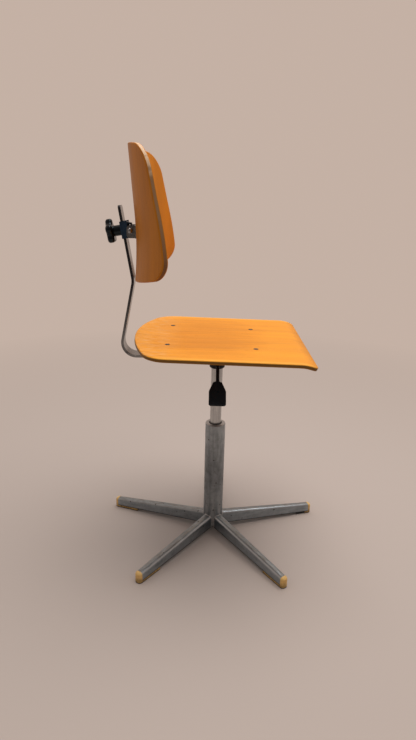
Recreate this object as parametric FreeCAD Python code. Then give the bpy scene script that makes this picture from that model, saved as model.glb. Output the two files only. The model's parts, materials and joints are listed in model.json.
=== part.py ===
import FreeCAD, Part
import math
import os

# Swivel workshop chair: star foot, gas-spring column, plywood seat and clamped plywood back.
# Millimetres, +Z up. The origin is on the floor, on the column's axis; the sitter faces +X.

# Fits and clearances
running_fit = 0.1          # radial play of a pin or shaft that turns or slides
free_gap = 0.4             # gap between pieces that move past each other
plug_play = 0.2            # play of a foot cap's plug in its leg
cut_past = 2.0             # how far a cutting tool runs past the face it cuts

# Stand tube
tube_diameter = 50.0
tube_wall = 2.5
tube_bottom = 13.0
tube_top = 303.3
rim_hole = 36.0            # mouth left by the turned-in top rim
rim_radius = 6.0
vent_diameter = 4.0
vent_height = 64.0

# Star foot
leg_count = 5
base_turn = -2.7           # degrees, first leg's angle past the even star that has a leg along +Y
foot_reach = 287.5         # column axis to the nose of a foot
leg_root_width = 24.0
leg_root_top = 47.5
leg_tip_width = 18.5
leg_tip_bottom = 6.0
leg_tip_top = 27.0
leg_wall = 2.0
leg_edge_radius = 7.5
cap_nose = 9.0             # how far a cap stands out past its leg
cap_nose_radius = 8.0
cap_plug = 30.0
cap_edge_radius = 6.5
sole_length = 60.0
worn_sole_length = 9.0     # what is left of the sole on the foot that has the pad
pad_length = 23.0
pad_width = 17.5
pad_inset = 10.0           # from the leg's tip to the pad
pad_edge_radius = 2.0

# Swivel bearing at the bottom of the column
floor_disc_bottom = 24.0
floor_disc_thickness = 4.0
washer_thickness = 2.5
washer_radius = 13.5
ball_diameter = 4.0
ball_count = 10
ball_circle = 9.2          # radius of the ring of balls
cage_thickness = 1.6
cage_rim = 1.2             # cage left outside the balls
spigot_diameter = 8.0      # lower end of the rod
spigot_below = 6.0         # spigot past the floor disc
clip_thickness = 1.5
clip_radius = 8.0
clip_groove = 1.0          # depth of the clip's groove
bump_length = 30.0
bump_radius = 12.0

# Gas spring
rod_diameter = 10.0
cylinder_diameter = 28.0
cylinder_wall = 2.0
cylinder_length = 286.0
cylinder_above_floor = 13.0  # its top over the underside of the channel
cylinder_taper = 0.8       # radius lost over the length that sits in the hub
rod_guide_length = 16.0
rod_seal_length = 5.0
piston_above_seal = 0.5
piston_length = 14.0
ring_depth = 1.6
ring_width = 4.0
valve_body_length = 18.0
valve_pin_diameter = 8.0
valve_pin_length = 22.0
valve_pin_proud = 10.0     # over the cylinder's top
valve_pin_round = 1.0
bush_length = 110.0
bush_lip_below_rim = 0.5

# Seat shell, in its own frame: top face at the column axis is the origin, tilted about Y
seat_height = 526.1
seat_tilt = 0.93           # degrees, front edge lower
seat_width = 402.6
seat_back = 194.3
seat_front = 206.2
seat_ply = 9.0
seat_rear_radius = 433.5   # bow of the rear edge, in plan
seat_rear_corner = 56.7
seat_front_corner = 14.3
seat_flat_back = 124.5     # where the rear of the seat starts to rise
seat_rise_radius = 569.0
seat_flat_front = 168.3    # where the front of the seat starts to fall
seat_fall_radius = 86.3
ply_edge_radius = 2.2
screw_back = 113.6         # seat screws, behind and ahead of the column
screw_ahead = 83.0
screw_side = 90.5
front_screw_shift = -9.0   # front pair off the seat's middle line
screw_diameter = 6.0
screw_head_diameter = 11.0
screw_head_depth = 3.0
nut_flats = 10.0
nut_height = 5.0
screw_past_nut = 2.0

# Seat carrier
hub_diameter = 37.0
hub_below_floor = 24.4
hub_chamfer = 2.5
carrier_drop = 53.1        # top of the seat to the underside of the channel
carrier_skew = -2.0        # degrees, seat and carrier sit turned a little against the back bar
channel_wall = 3.0
channel_inside = 60.0
channel_back = 135.0
channel_front = 105.0
channel_bend = 5.0
strap_width = 30.0
strap_thickness = 4.0
strap_length = 214.0
strap_corner = 8.0

# Release lever
lever_rod_diameter = 8.0
lever_inner_end = 6.0      # past the valve pin's axis
lever_pivot = 39.0         # from the column axis
lever_pin_diameter = 4.0
lever_pin_past_lug = 1.0
lever_gap = 0.3            # over the valve pin
lug_thickness = 3.0
lug_radius = 6.0
slot_height = 15.0
lever_bend_at = 52.0
lever_bend_radius = 15.0
lever_slope = 32.5         # degrees below level
lever_to_paddle = 87.0     # from the bend's corner, along the slope
paddle_length = 62.6
paddle_width = 37.5
paddle_neck = 14.0
paddle_shoulder = 25.5
paddle_thickness = 7.0
paddle_corner = 5.0
paddle_edge_radius = 2.0
paddle_socket_diameter = 12.0
paddle_socket_length = 26.0
paddle_socket_wall = 2.0

# Back bar: flat steel bent twice
bar_width = 40.0
bar_thickness = 6.0
bar_front = 30.0           # front end, behind the column axis
bar_kink_back = 197.3      # middle of the bar at the kink
bar_kink_rise = 129.9      # over the top of the seat
bar_lower_lean = 11.2      # degrees, forward going up
bar_upper_lean = 9.6       # degrees, backward going up
bar_top_rise = 294.4       # over the top of the seat
bar_bend_radius = 33.0     # to the middle of the bar
bar_kink_radius = 40.0
bar_corner = 9.0
bar_bolts_back = (60.0, 104.0)
bolt_diameter = 8.0
bolt_flats = 13.0
bolt_head_height = 5.3
bolt_nut_height = 6.5
bolt_past_nut = 2.0

# Clamp on the bar, in the bar's own frame: X out of the bar's front face, Z up the bar
clamp_rise = 242.4         # middle of the clamp over the top of the seat
clamp_length = 37.0
clamp_rear_wall = 2.2
clamp_front_wall = 3.0
clamp_side_wall = 3.6
clamp_cheek = 10.5         # full-height part of the cheeks, ahead of the bar's middle
clamp_edge_radius = 2.0
tilt_axis_ahead = 16.0     # tilt bolt, ahead of the bar's middle
tilt_axis_below = 3.0      # under the middle of the clamp
cheek_nose_radius = 8.5
lip_length = 17.0
lip_slope = 15.0           # degrees below level
lip_width = 18.0
lip_thickness = 4.0
tilt_bolt_diameter = 8.0
tilt_flats = 13.0
tilt_head_height = 5.3
dome_nut_height = 6.5
dome_radius = 6.2

# Star knob
knob_lobes = 5
knob_diameter = 55.0
knob_lobe_radius = 9.5
knob_valley_radius = 13.0
knob_head = 15.5
knob_edge_radius = 5.5
knob_neck_diameter = 23.5
knob_neck = 17.0
knob_screw_in_head = 8.0
knob_screw_diameter = 8.0
knob_screw_gap = 0.3       # from the loosened screw to the bar

# Backrest shell: a turned shell cut to its outline
back_ply = 9.0
back_lumbar_back = 188.7   # rear face behind the column axis, where it bulges most
back_lumbar_rise = 213.2   # over the top of the seat
back_lumbar_radius = 838.0
back_lean = 4.8            # degrees, above the lumbar bulge
back_wrap_radius = 325.0
back_wrap_angle = 90.0     # swept before the outline is cut
back_half_width = 197.0    # at the lumbar height
back_side_slope = 9.15     # degrees, narrower going up
back_top_rise = 419.0      # over the top of the seat
back_top_radius = 1186.0
back_top_corner = 59.6
back_bottom_rise = 133.2   # over the top of the seat
back_bottom_radius = 712.0
back_bottom_corner = 40.0
bracket_wall = 2.5
bracket_height = 27.0
bracket_drop = 2.9         # middle of the bracket below the tilt bolt
bracket_width = 64.0
ear_behind_bolt = 8.5
ear_corner = 7.0
rivet_diameter = 5.0
rivet_head_diameter = 12.0
rivet_head = 2.4
rivet_tail_diameter = 9.0
rivet_tail = 2.0
rivet_side = 12.0
rivet_rise = 8.5

# Values that follow from the sizes above
tube_radius = tube_diameter / 2
bore_radius = tube_radius - tube_wall
leg_tip = foot_reach - cap_nose
rod_radius = rod_diameter / 2
spigot_radius = spigot_diameter / 2
cylinder_radius = cylinder_diameter / 2
cylinder_bore = cylinder_radius - cylinder_wall
floor_disc_top = floor_disc_bottom + floor_disc_thickness
ball_bottom = floor_disc_top + washer_thickness
ball_top = ball_bottom + ball_diameter
shoulder = ball_top + washer_thickness
channel_floor = seat_height - carrier_drop
channel_top = channel_floor + channel_wall
hub_bottom = channel_floor - hub_below_floor
cylinder_top = channel_floor + cylinder_above_floor
cylinder_bottom = cylinder_top - cylinder_length
valve_pin_top = cylinder_top + valve_pin_proud
seal_top = cylinder_bottom + rod_guide_length + rod_seal_length
piston_bottom = seal_top + piston_above_seal
piston_top = piston_bottom + piston_length
channel_half = channel_inside / 2
lever_level = valve_pin_top + lever_gap + lever_rod_diameter / 2
bar_level = channel_top + bar_thickness / 2
half_bar = bar_thickness / 2
bar_kink_height = seat_height + bar_kink_rise
bar_top = seat_height + bar_top_rise
clamp_height = seat_height + clamp_rise
back_lumbar_height = seat_height + back_lumbar_rise
back_top = seat_height + back_top_rise
back_bottom = seat_height + back_bottom_rise
clamp_slot = half_bar + free_gap
clamp_half = bar_width / 2 + free_gap + clamp_side_wall
clamp_rear = clamp_slot + clamp_rear_wall
ear_inside = clamp_half + free_gap
ear_outside = ear_inside + bracket_wall
nut_face = ear_outside + free_gap
back_axis = back_wrap_radius - back_lumbar_back

Vector = FreeCAD.Vector
ORIGIN = Vector(0, 0, 0)
AXIS_X = Vector(1, 0, 0)
AXIS_Y = Vector(0, 1, 0)
AXIS_Z = Vector(0, 0, 1)


def tan(degrees):
    return math.tan(math.radians(degrees))


def sin(degrees):
    return math.sin(math.radians(degrees))


def cos(degrees):
    return math.cos(math.radians(degrees))


def line(start, end):
    return Part.LineSegment(start, end).toShape()


def arc(start, middle, end):
    return Part.Arc(start, middle, end).toShape()


def placed(shape, place):
    """Copy of a shape, carried by a placement."""
    copy = shape.copy()
    copy.Placement = place.multiply(copy.Placement)
    return copy


def turn(axis, degrees, centre=ORIGIN):
    """Placement that turns about an axis through a point."""
    return FreeCAD.Placement(ORIGIN, FreeCAD.Rotation(axis, degrees), centre)


def move(offset):
    """Placement that only shifts."""
    return FreeCAD.Placement(offset, FreeCAD.Rotation())


def mirrored(shape):
    """Copy on the other side of the chair's middle plane."""
    return shape.mirror(ORIGIN, AXIS_Y)


def pillar(radius, low, high):
    """Round bar on the column's axis, between two heights."""
    return Part.makeCylinder(radius, high - low, Vector(0, 0, low))


def ring(outer, inner, low, high):
    return pillar(outer, low, high).cut(pillar(inner, low, high))


def turned(points):
    """Solid turned about the column's axis from (radius, height) corners."""
    corners = [Vector(radius, 0, height) for radius, height in points]
    profile = Part.Face(Part.makePolygon(corners + corners[:1]))
    return profile.revolve(ORIGIN, AXIS_Z, 360)


def cross_bar(radius, low, high, x, z):
    """Round bar along Y, between two y values."""
    return Part.makeCylinder(radius, high - low, Vector(x, low, z), AXIS_Y)


def block(low, high):
    """Box between two corners."""
    size = Vector(*high) - Vector(*low)
    return Part.makeBox(size.x, size.y, size.z, Vector(*low))


def hexagon(flats, height):
    """Six-sided prism on the XY plane."""
    reach = flats / 2 / cos(30)
    corners = [Vector(reach * cos(60 * i), reach * sin(60 * i), 0) for i in range(7)]
    return Part.Face(Part.makePolygon(corners)).extrude(Vector(0, 0, height))


def rounded_face(corners):
    """Flat face on XY; each corner is (x, y, radius) and is rounded by a tangent arc."""
    count = len(corners)
    points = [Vector(x, y, 0) for x, y, radius in corners]
    rounds = []
    for i in range(count):
        radius = corners[i][2]
        back = (points[i - 1] - points[i]).normalize()
        ahead = (points[(i + 1) % count] - points[i]).normalize()
        half = back.getAngle(ahead) / 2
        reach = radius / math.tan(half)
        inward = (back + ahead).normalize() * (radius / math.sin(half) - radius)
        rounds.append((points[i] + back * reach, points[i] + inward, points[i] + ahead * reach))
    edges = []
    for i in range(count):
        if corners[i][2] > 0:
            edges.append(arc(*rounds[i]))
        edges.append(line(rounds[i][2], rounds[(i + 1) % count][0]))
    return Part.Face(Part.Wire(edges))


def strip_face(points, radii, thickness):
    """Bent strip on the XZ plane: a path of (x, z) points, each inner one bent to its radius."""
    path = [Vector(x, 0, z) for x, z in points]
    steps = [(path[i + 1] - path[i]).normalize() for i in range(len(path) - 1)]
    sides = []
    for offset in (thickness / 2, -thickness / 2):
        left = [AXIS_Y.cross(step) * -offset for step in steps]
        edges = []
        start = path[0] + left[0]
        for i, radius in enumerate(radii):
            corner = path[i + 1]
            half = steps[i].getAngle(steps[i + 1]) / 2
            reach = radius * math.tan(half)
            centre = corner + (steps[i + 1] - steps[i]).normalize() * (radius / math.cos(half))
            out = (corner - centre).normalize()
            inner_turn = AXIS_Y.cross(steps[i]).dot(steps[i + 1]) * -offset > 0
            bend = radius - abs(offset) if inner_turn else radius + abs(offset)
            before = corner - steps[i] * reach + left[i]
            after = corner + steps[i + 1] * reach + left[i + 1]
            edges.append(line(start, before))
            edges.append(arc(before, centre + out * bend, after))
            start = after
        edges.append(line(start, path[-1] + left[-1]))
        sides.append(edges)
    ends = []
    for point, step in ((path[0], steps[0]), (path[-1], steps[-1])):
        across = AXIS_Y.cross(step) * (thickness / 2)
        ends.append(line(point - across, point + across))
    loop = Part.sortEdges(sides[0] + sides[1] + ends)[0]
    return Part.Face(Part.Wire(loop))


def along_y(face, half_width):
    """Face on the XZ plane made a solid, evenly to both sides."""
    return placed(face, move(AXIS_Y * -half_width)).extrude(AXIS_Y * (2 * half_width))


def side_face(corners):
    """Rounded face on the XZ plane from (x, z, radius) corners."""
    return placed(rounded_face(corners), turn(AXIS_X, 90))


# Star foot and stand tube


def stand_tube():
    """Tube with its top rim turned in, and a small vent in the wall."""
    inner_radius = rim_radius - tube_wall
    bend = tube_top - rim_radius
    bend_centre = Vector(tube_radius - rim_radius, 0, bend)
    diagonal = Vector(cos(45), 0, sin(45))
    mouth = rim_hole / 2
    lower_in = Vector(bore_radius, 0, tube_bottom)
    lower_out = Vector(tube_radius, 0, tube_bottom)
    bend_out = Vector(tube_radius, 0, bend)
    rim_out = Vector(bend_centre.x, 0, tube_top)
    rim_in = Vector(bend_centre.x, 0, tube_top - tube_wall)
    bend_in = Vector(bore_radius, 0, bend)
    edges = [
        line(lower_in, lower_out),
        line(lower_out, bend_out),
        arc(bend_out, bend_centre + diagonal * rim_radius, rim_out),
        line(rim_out, Vector(mouth, 0, tube_top)),
        line(Vector(mouth, 0, tube_top), Vector(mouth, 0, tube_top - tube_wall)),
        line(Vector(mouth, 0, tube_top - tube_wall), rim_in),
        arc(rim_in, bend_centre + diagonal * inner_radius, bend_in),
        line(bend_in, lower_in),
    ]
    tube = Part.Face(Part.Wire(edges)).revolve(ORIGIN, AXIS_Z, 360)
    return tube.cut(cross_bar(vent_diameter / 2, -tube_radius - cut_past, 0, 0, vent_height))


def leg_section(x, half, low, high, radius):
    """Closed outline of a leg across its length, with rounded top corners."""
    diagonal = radius * (1 - cos(45))
    return Part.Wire([
        line(Vector(x, -half, low), Vector(x, -half, high - radius)),
        arc(Vector(x, -half, high - radius), Vector(x, diagonal - half, high - diagonal),
            Vector(x, radius - half, high)),
        line(Vector(x, radius - half, high), Vector(x, half - radius, high)),
        arc(Vector(x, half - radius, high), Vector(x, half - diagonal, high - diagonal),
            Vector(x, half, high - radius)),
        line(Vector(x, half, high - radius), Vector(x, half, low)),
        line(Vector(x, half, low), Vector(x, -half, low)),
    ])


def leg():
    """Tapered channel along +X, open below, seated on the stand tube."""
    outer = Part.makeLoft([
        leg_section(0, leg_root_width / 2, tube_bottom, leg_root_top, leg_edge_radius),
        leg_section(leg_tip, leg_tip_width / 2, leg_tip_bottom, leg_tip_top, leg_edge_radius),
    ], True, True)
    hollow_radius = leg_edge_radius - leg_wall
    hollow = Part.makeLoft([
        leg_section(0, leg_root_width / 2 - leg_wall, tube_bottom - cut_past,
                    leg_root_top - leg_wall, hollow_radius),
        leg_section(leg_tip, leg_tip_width / 2 - leg_wall, leg_tip_bottom - cut_past,
                    leg_tip_top - leg_wall, hollow_radius),
    ], True, True)
    return outer.cut(hollow).cut(pillar(tube_radius, 0, tube_top))


def leg_bottom(x):
    """Height of a leg's lower edge at a distance from the column."""
    return leg_tip_bottom + (tube_bottom - leg_tip_bottom) * (leg_tip - x) / leg_tip


def wedge(start, end, half_width):
    """What lies between the floor and a leg's lower edge, over a stretch of the leg."""
    corners = [(start, 0, 0), (end, 0, 0), (end, leg_bottom(end), 0), (start, leg_bottom(start), 0)]
    return along_y(side_face(corners), half_width)


def foot_cap(sole):
    """Moulded cap on a leg's end: rounded nose, plug inside the leg and sole under it."""
    half = leg_tip_width / 2
    plan = rounded_face([
        (leg_tip, -half, 0),
        (foot_reach, -half, cap_nose_radius),
        (foot_reach, half, cap_nose_radius),
        (leg_tip, half, 0),
    ])
    nose = plan.extrude(Vector(0, 0, leg_tip_top))
    top_edges = [edge for edge in nose.Edges
                 if all(abs(v.Z - leg_tip_top) < running_fit for v in edge.Vertexes)
                 and edge.BoundBox.XMax > leg_tip + running_fit]
    nose = nose.makeFillet(cap_edge_radius, top_edges)
    plug_half = half - leg_wall - plug_play
    plug_section = leg_section(leg_tip - cap_plug, plug_half, leg_tip_bottom / 2,
                               leg_tip_top - leg_wall - plug_play, leg_edge_radius - leg_wall)
    plug = Part.Face(plug_section).extrude(Vector(cap_plug, 0, 0))
    plug = plug.cut(wedge(leg_tip - cap_plug, leg_tip, half))
    return nose.fuse([plug, wedge(leg_tip - sole, leg_tip, half)]).removeSplitter()


def foot_pad():
    """Rubber pad stuck under a leg, with its lower edges eased."""
    end = leg_tip - pad_inset
    pad = wedge(end - pad_length, end, pad_width / 2)
    lower = [edge for edge in pad.Edges if edge.BoundBox.ZMax < running_fit]
    return pad.makeFillet(pad_edge_radius, lower)


def leg_place(index):
    """Placement of one leg round the column."""
    step = 360 / leg_count
    return turn(AXIS_Z, 90 - step + base_turn + step * index)


# Swivel bearing and gas spring


def guide_bush():
    """Plastic sleeve that guides the cylinder, with a neck up through the rim."""
    inside = cylinder_radius + running_fit
    under_rim = tube_top - tube_wall
    flank = tube_top - rim_radius
    return turned([
        (inside, flank - bush_length),
        (bore_radius, flank - bush_length),
        (bore_radius, flank),
        (tube_radius - rim_radius, under_rim),
        (rim_hole / 2, under_rim),
        (rim_hole / 2, tube_top - bush_lip_below_rim),
        (inside, tube_top - bush_lip_below_rim),
    ])


def ball_places():
    step = 360 / ball_count
    return [Vector(ball_circle * cos(step * i), ball_circle * sin(step * i), (ball_bottom + ball_top) / 2)
            for i in range(ball_count)]


def bearing_balls():
    return Part.makeCompound([Part.makeSphere(ball_diameter / 2, centre) for centre in ball_places()])


def bearing_cage():
    """Flat ring with a round pocket for each ball."""
    reach = ball_diameter / 2 + running_fit + cage_rim
    middle = (ball_bottom + ball_top) / 2
    cage = ring(ball_circle + reach, ball_circle - reach, middle - cage_thickness / 2,
                middle + cage_thickness / 2)
    pockets = [Part.makeCylinder(ball_diameter / 2 + running_fit, ball_diameter,
                                 centre - AXIS_Z * (ball_diameter / 2)) for centre in ball_places()]
    return cage.cut(pockets)


def piston_rod():
    """Rod with a shoulder on the bearing and a grooved spigot through the floor disc."""
    clip_top = floor_disc_bottom - free_gap
    groove = spigot_radius - clip_groove
    return turned([
        (0, floor_disc_bottom - spigot_below),
        (spigot_radius, floor_disc_bottom - spigot_below),
        (spigot_radius, clip_top - clip_thickness),
        (groove, clip_top - clip_thickness),
        (groove, clip_top),
        (spigot_radius, clip_top),
        (spigot_radius, shoulder),
        (rod_radius, shoulder),
        (rod_radius, piston_top),
        (0, piston_top),
    ])


def rod_clip():
    """Open spring clip in the spigot's groove."""
    top = floor_disc_bottom - free_gap
    groove = spigot_radius - clip_groove
    clip = ring(clip_radius, groove, top - clip_thickness, top)
    return clip.cut(block((0, -groove, top - clip_thickness), (clip_radius, groove, top)))


def piston():
    """Piston on the rod, with a groove for its ring."""
    outer = cylinder_bore - running_fit
    middle = (piston_bottom + piston_top) / 2
    body = ring(outer, rod_radius, piston_bottom, piston_top)
    return body.cut(ring(outer, outer - ring_depth, middle - ring_width / 2, middle + ring_width / 2))


def piston_ring():
    outer = cylinder_bore - running_fit
    middle = (piston_bottom + piston_top) / 2
    return ring(outer, outer - ring_depth, middle - ring_width / 2, middle + ring_width / 2)


def gas_cylinder():
    """Pressure tube whose upper end tapers into the hub."""
    narrow = cylinder_radius - cylinder_taper
    return turned([
        (cylinder_bore, cylinder_bottom),
        (cylinder_radius, cylinder_bottom),
        (cylinder_radius, hub_bottom),
        (narrow, cylinder_top),
        (cylinder_bore, cylinder_top),
    ])


def carrier_hub():
    """Socket with the same taper as the cylinder and a chamfered lower edge."""
    outside = hub_diameter / 2
    return turned([
        (cylinder_radius, hub_bottom),
        (outside - hub_chamfer, hub_bottom),
        (outside, hub_bottom + hub_chamfer),
        (outside, cylinder_top),
        (cylinder_radius - cylinder_taper, cylinder_top),
    ])


def valve_body():
    bore = valve_pin_diameter / 2 + running_fit
    return ring(cylinder_bore, bore, cylinder_top - valve_body_length, cylinder_top)


def valve_pin():
    """Release pin with a rounded top edge."""
    pin = pillar(valve_pin_diameter / 2, valve_pin_top - valve_pin_length, valve_pin_top)
    top = [edge for edge in pin.Edges if edge.BoundBox.ZMin > valve_pin_top - running_fit]
    return pin.makeFillet(valve_pin_round, top)


# Seat and its carrier

carrier_turn = turn(AXIS_Z, carrier_skew)
seat_place = carrier_turn.multiply(
    FreeCAD.Placement(Vector(0, 0, seat_height), FreeCAD.Rotation(AXIS_Y, seat_tilt)))


def seat_profile():
    """Section of the seat along the chair: rear rise, flat middle and front fall."""
    low_radius = seat_rise_radius + seat_ply
    end_radius = seat_fall_radius - seat_ply
    rear_angle = math.degrees(math.asin((seat_back - seat_flat_back + cut_past) / seat_rise_radius))
    front_angle = math.degrees(math.asin((seat_front - seat_flat_front + cut_past) / end_radius))

    def rear(radius, angle):
        return Vector(-seat_flat_back - radius * sin(angle), 0, seat_rise_radius - radius * cos(angle))

    def front(radius, angle):
        return Vector(seat_flat_front + radius * sin(angle), 0, radius * cos(angle) - seat_fall_radius)

    return Part.Face(Part.Wire([
        arc(rear(seat_rise_radius, rear_angle), rear(seat_rise_radius, rear_angle / 2),
            rear(seat_rise_radius, 0)),
        line(rear(seat_rise_radius, 0), front(seat_fall_radius, 0)),
        arc(front(seat_fall_radius, 0), front(seat_fall_radius, front_angle / 2),
            front(seat_fall_radius, front_angle)),
        line(front(seat_fall_radius, front_angle), front(end_radius, front_angle)),
        arc(front(end_radius, front_angle), front(end_radius, front_angle / 2), front(end_radius, 0)),
        line(front(end_radius, 0), rear(low_radius, 0)),
        arc(rear(low_radius, 0), rear(low_radius, rear_angle / 2), rear(low_radius, rear_angle)),
        line(rear(low_radius, rear_angle), rear(seat_rise_radius, rear_angle)),
    ]))


def seat_plan():
    """Outline of the seat from above: bowed rear edge, large rear and small front corners."""
    half = seat_width / 2
    bow_centre = seat_rear_radius - seat_back
    corner_y = half - seat_rear_corner
    corner_x = bow_centre - math.sqrt((seat_rear_radius - seat_rear_corner) ** 2 - corner_y ** 2)
    meet = math.degrees(math.atan2(corner_y, bow_centre - corner_x))
    middle = (meet + 90) / 2
    tuck = seat_front_corner * (1 - cos(45))

    def bow(angle):
        return Vector(bow_centre - seat_rear_radius * cos(angle), seat_rear_radius * sin(angle), 0)

    def corner(angle, side):
        return Vector(corner_x - seat_rear_corner * cos(angle),
                      side * (corner_y + seat_rear_corner * sin(angle)), 0)

    def front(x, y, side):
        return Vector(seat_front - x, side * (half - y), 0)

    edges = [arc(bow(-meet), bow(0), bow(meet))]
    for side in (1, -1):
        edges.append(arc(corner(meet, side), corner(middle, side), corner(90, side)))
        edges.append(line(corner(90, side), front(seat_front_corner, 0, side)))
        edges.append(arc(front(seat_front_corner, 0, side), front(tuck, tuck, side),
                         front(0, seat_front_corner, side)))
    edges.append(line(front(0, seat_front_corner, 1), front(0, seat_front_corner, -1)))
    return Part.Face(Part.Wire(Part.sortEdges(edges)[0]))


def rim_edges(shape, prism):
    """Edges where a shell's two faces meet the wall cut by its outline."""
    kinds = ("Part::GeomPlane", "Part::GeomCylinder")
    walls = [face for face in shape.Faces if face.Surface.TypeId in kinds]
    cut_walls = [face for face in walls
                 if prism.distToShape(Part.Vertex(face.CenterOfMass))[0] < running_fit]
    rim = []
    for edge in shape.Edges:
        owners = sum(1 for face in cut_walls if any(edge.isSame(other) for other in face.Edges))
        if owners == 1:
            rim.append(edge)
    return rim


def rounded_shell(sheet, outline, direction):
    """Sheet cut to an outline, with both rims eased."""
    prism = outline.extrude(direction)
    shell = sheet.common(prism)
    side_walls = [face for face in prism.Faces
                  if abs(face.normalAt(0, 0).dot(direction)) < running_fit]
    rim = rim_edges(shell, Part.makeCompound(side_walls))
    return shell.makeFillet(ply_edge_radius, rim)


def seat_screw_places():
    return [Vector(x, middle + side * screw_side, 0)
            for x, middle in ((-screw_back, 0), (screw_ahead, front_screw_shift)) for side in (-1, 1)]


def seat_screws():
    """Flush countersunk screws through the seat, a strap and a nut."""
    length = seat_ply + strap_thickness + nut_height + screw_past_nut
    shank = screw_diameter / 2
    head = screw_head_diameter / 2
    screw = turned([(0, -length), (shank, -length), (shank, -screw_head_depth), (head, 0), (0, 0)])
    return Part.makeCompound([placed(screw, seat_place.multiply(move(point)))
                              for point in seat_screw_places()])


def seat_nuts():
    top = -seat_ply - strap_thickness
    nut = hexagon(nut_flats, nut_height).cut(pillar(screw_diameter / 2, 0, nut_height))
    return Part.makeCompound([
        placed(nut, seat_place.multiply(move(point + AXIS_Z * (top - nut_height))))
        for point in seat_screw_places()])


def seat_shell():
    """Moulded plywood seat."""
    sheet = along_y(seat_profile(), seat_width)
    outline = placed(seat_plan(), move(AXIS_Z * -seat_width))
    shell = rounded_shell(sheet, outline, AXIS_Z * (2 * seat_width))
    return placed(shell, seat_place).cut(seat_screws().Solids)


def strap(x):
    """Cross strap between the carrier and the seat."""
    half = strap_length / 2
    plan = rounded_face([
        (x - strap_width / 2, -half, strap_corner),
        (x + strap_width / 2, -half, strap_corner),
        (x + strap_width / 2, half, strap_corner),
        (x - strap_width / 2, half, strap_corner),
    ])
    flat = placed(plan, move(AXIS_Z * (-seat_ply - strap_thickness)))
    return placed(flat.extrude(AXIS_Z * strap_thickness), seat_place).cut(seat_screws().Solids)


def carrier_channel():
    """Folded channel under the straps, its walls cut to the seat's tilt."""
    outside = channel_half + channel_wall
    high = seat_height
    inner_bend = channel_bend - channel_wall
    section = rounded_face([
        (-outside, channel_floor, channel_bend), (outside, channel_floor, channel_bend),
        (outside, high, 0), (channel_half, high, 0),
        (channel_half, channel_top, inner_bend), (-channel_half, channel_top, inner_bend),
        (-channel_half, high, 0), (-outside, high, 0),
    ])
    upright = FreeCAD.Placement(AXIS_X * -channel_back, FreeCAD.Rotation(AXIS_Y, AXIS_Z, AXIS_X, "ZXY"))
    channel = placed(section, upright).extrude(AXIS_X * (channel_back + channel_front))
    span = seat_back + seat_front
    above = placed(block((-span, -span, -seat_ply - strap_thickness), (span, span, span)), seat_place)
    half_slot = lever_rod_diameter / 2 + free_gap
    slot = block((-half_slot, -outside - cut_past, lever_level - slot_height / 2),
                 (half_slot, -channel_half + cut_past, lever_level + slot_height / 2))
    hole = pillar(hub_diameter / 2, hub_bottom, cylinder_top)
    return placed(channel.cut([slot, hole]), carrier_turn).cut([above, *bar_bolts().Solids])


# Release lever


def lever_lugs():
    """Two lugs on the carrier's wall that hold the lever's pin."""
    wall = -channel_half - channel_wall
    inside = lever_rod_diameter / 2 + free_gap
    lugs = []
    for x in (inside, -inside - lug_thickness):
        eye = Part.makeCylinder(lug_radius, lug_thickness, Vector(x, -lever_pivot, lever_level), AXIS_X)
        arm = block((x, -lever_pivot, lever_level - lug_radius),
                    (x + lug_thickness, wall, lever_level + lug_radius))
        lugs.append(eye.fuse(arm).removeSplitter().cut(lever_pin()))
    return Part.makeCompound(lugs)


def lever_pin():
    half = lever_rod_diameter / 2 + free_gap + lug_thickness + lever_pin_past_lug
    start = Vector(-half, -lever_pivot, lever_level)
    return Part.makeCylinder(lever_pin_diameter / 2, 2 * half, start, AXIS_X)


def lever_direction():
    """Unit step along the sloping part, away from the column."""
    return Vector(0, -cos(lever_slope), -sin(lever_slope))


def lever_bend():
    return Vector(0, -lever_bend_at, lever_level)


def lever_rod():
    """Rod bent once: level over the valve pin, sloping down to the paddle."""
    reach = lever_bend_radius * tan(lever_slope / 2)
    corner = lever_bend()
    slope = lever_direction()
    start = Vector(0, lever_inner_end, lever_level)
    before = corner + AXIS_Y * reach
    after = corner + slope * reach
    end = corner + slope * (lever_to_paddle + paddle_socket_length)
    sagitta = lever_bend_radius / cos(lever_slope / 2) - lever_bend_radius
    middle = corner + (AXIS_Y + slope).normalize() * sagitta
    path = Part.Wire([line(start, before), arc(before, middle, after), line(after, end)])
    circle = Part.Wire([Part.makeCircle(lever_rod_diameter / 2, start, AXIS_Y)])
    rod = path.makePipeShell([circle], True, False)
    half = lever_rod_diameter
    hole = Part.makeCylinder(lever_pin_diameter / 2 + running_fit, 2 * half,
                             Vector(-half, -lever_pivot, lever_level), AXIS_X)
    return rod.cut(hole)


def lever_paddle():
    """Flat moulded paddle with a socket for the rod."""
    half = paddle_width / 2
    neck = paddle_neck / 2
    plan = rounded_face([
        (-neck, 0, paddle_edge_radius), (neck, 0, paddle_edge_radius),
        (half, -paddle_shoulder, paddle_corner), (half, -paddle_length, paddle_corner),
        (-half, -paddle_length, paddle_corner), (-half, -paddle_shoulder, paddle_corner),
    ])
    flat = placed(plan, move(AXIS_Z * (-paddle_thickness / 2)))
    plate = flat.extrude(AXIS_Z * paddle_thickness)
    rims = [edge for edge in plate.Edges if edge.BoundBox.ZLength < running_fit]
    plate = plate.makeFillet(paddle_edge_radius, rims)
    socket_end = paddle_socket_length + paddle_socket_wall
    socket = Part.makeCylinder(paddle_socket_diameter / 2, socket_end, ORIGIN, AXIS_Y * -1)
    bore = Part.makeCylinder(lever_rod_diameter / 2, paddle_socket_length, ORIGIN, AXIS_Y * -1)
    paddle = plate.fuse(socket).removeSplitter().cut(bore)
    start = lever_bend() + lever_direction() * lever_to_paddle
    return placed(paddle, FreeCAD.Placement(start, FreeCAD.Rotation(AXIS_X, lever_slope)))


# Back bar and what clamps on it


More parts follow.
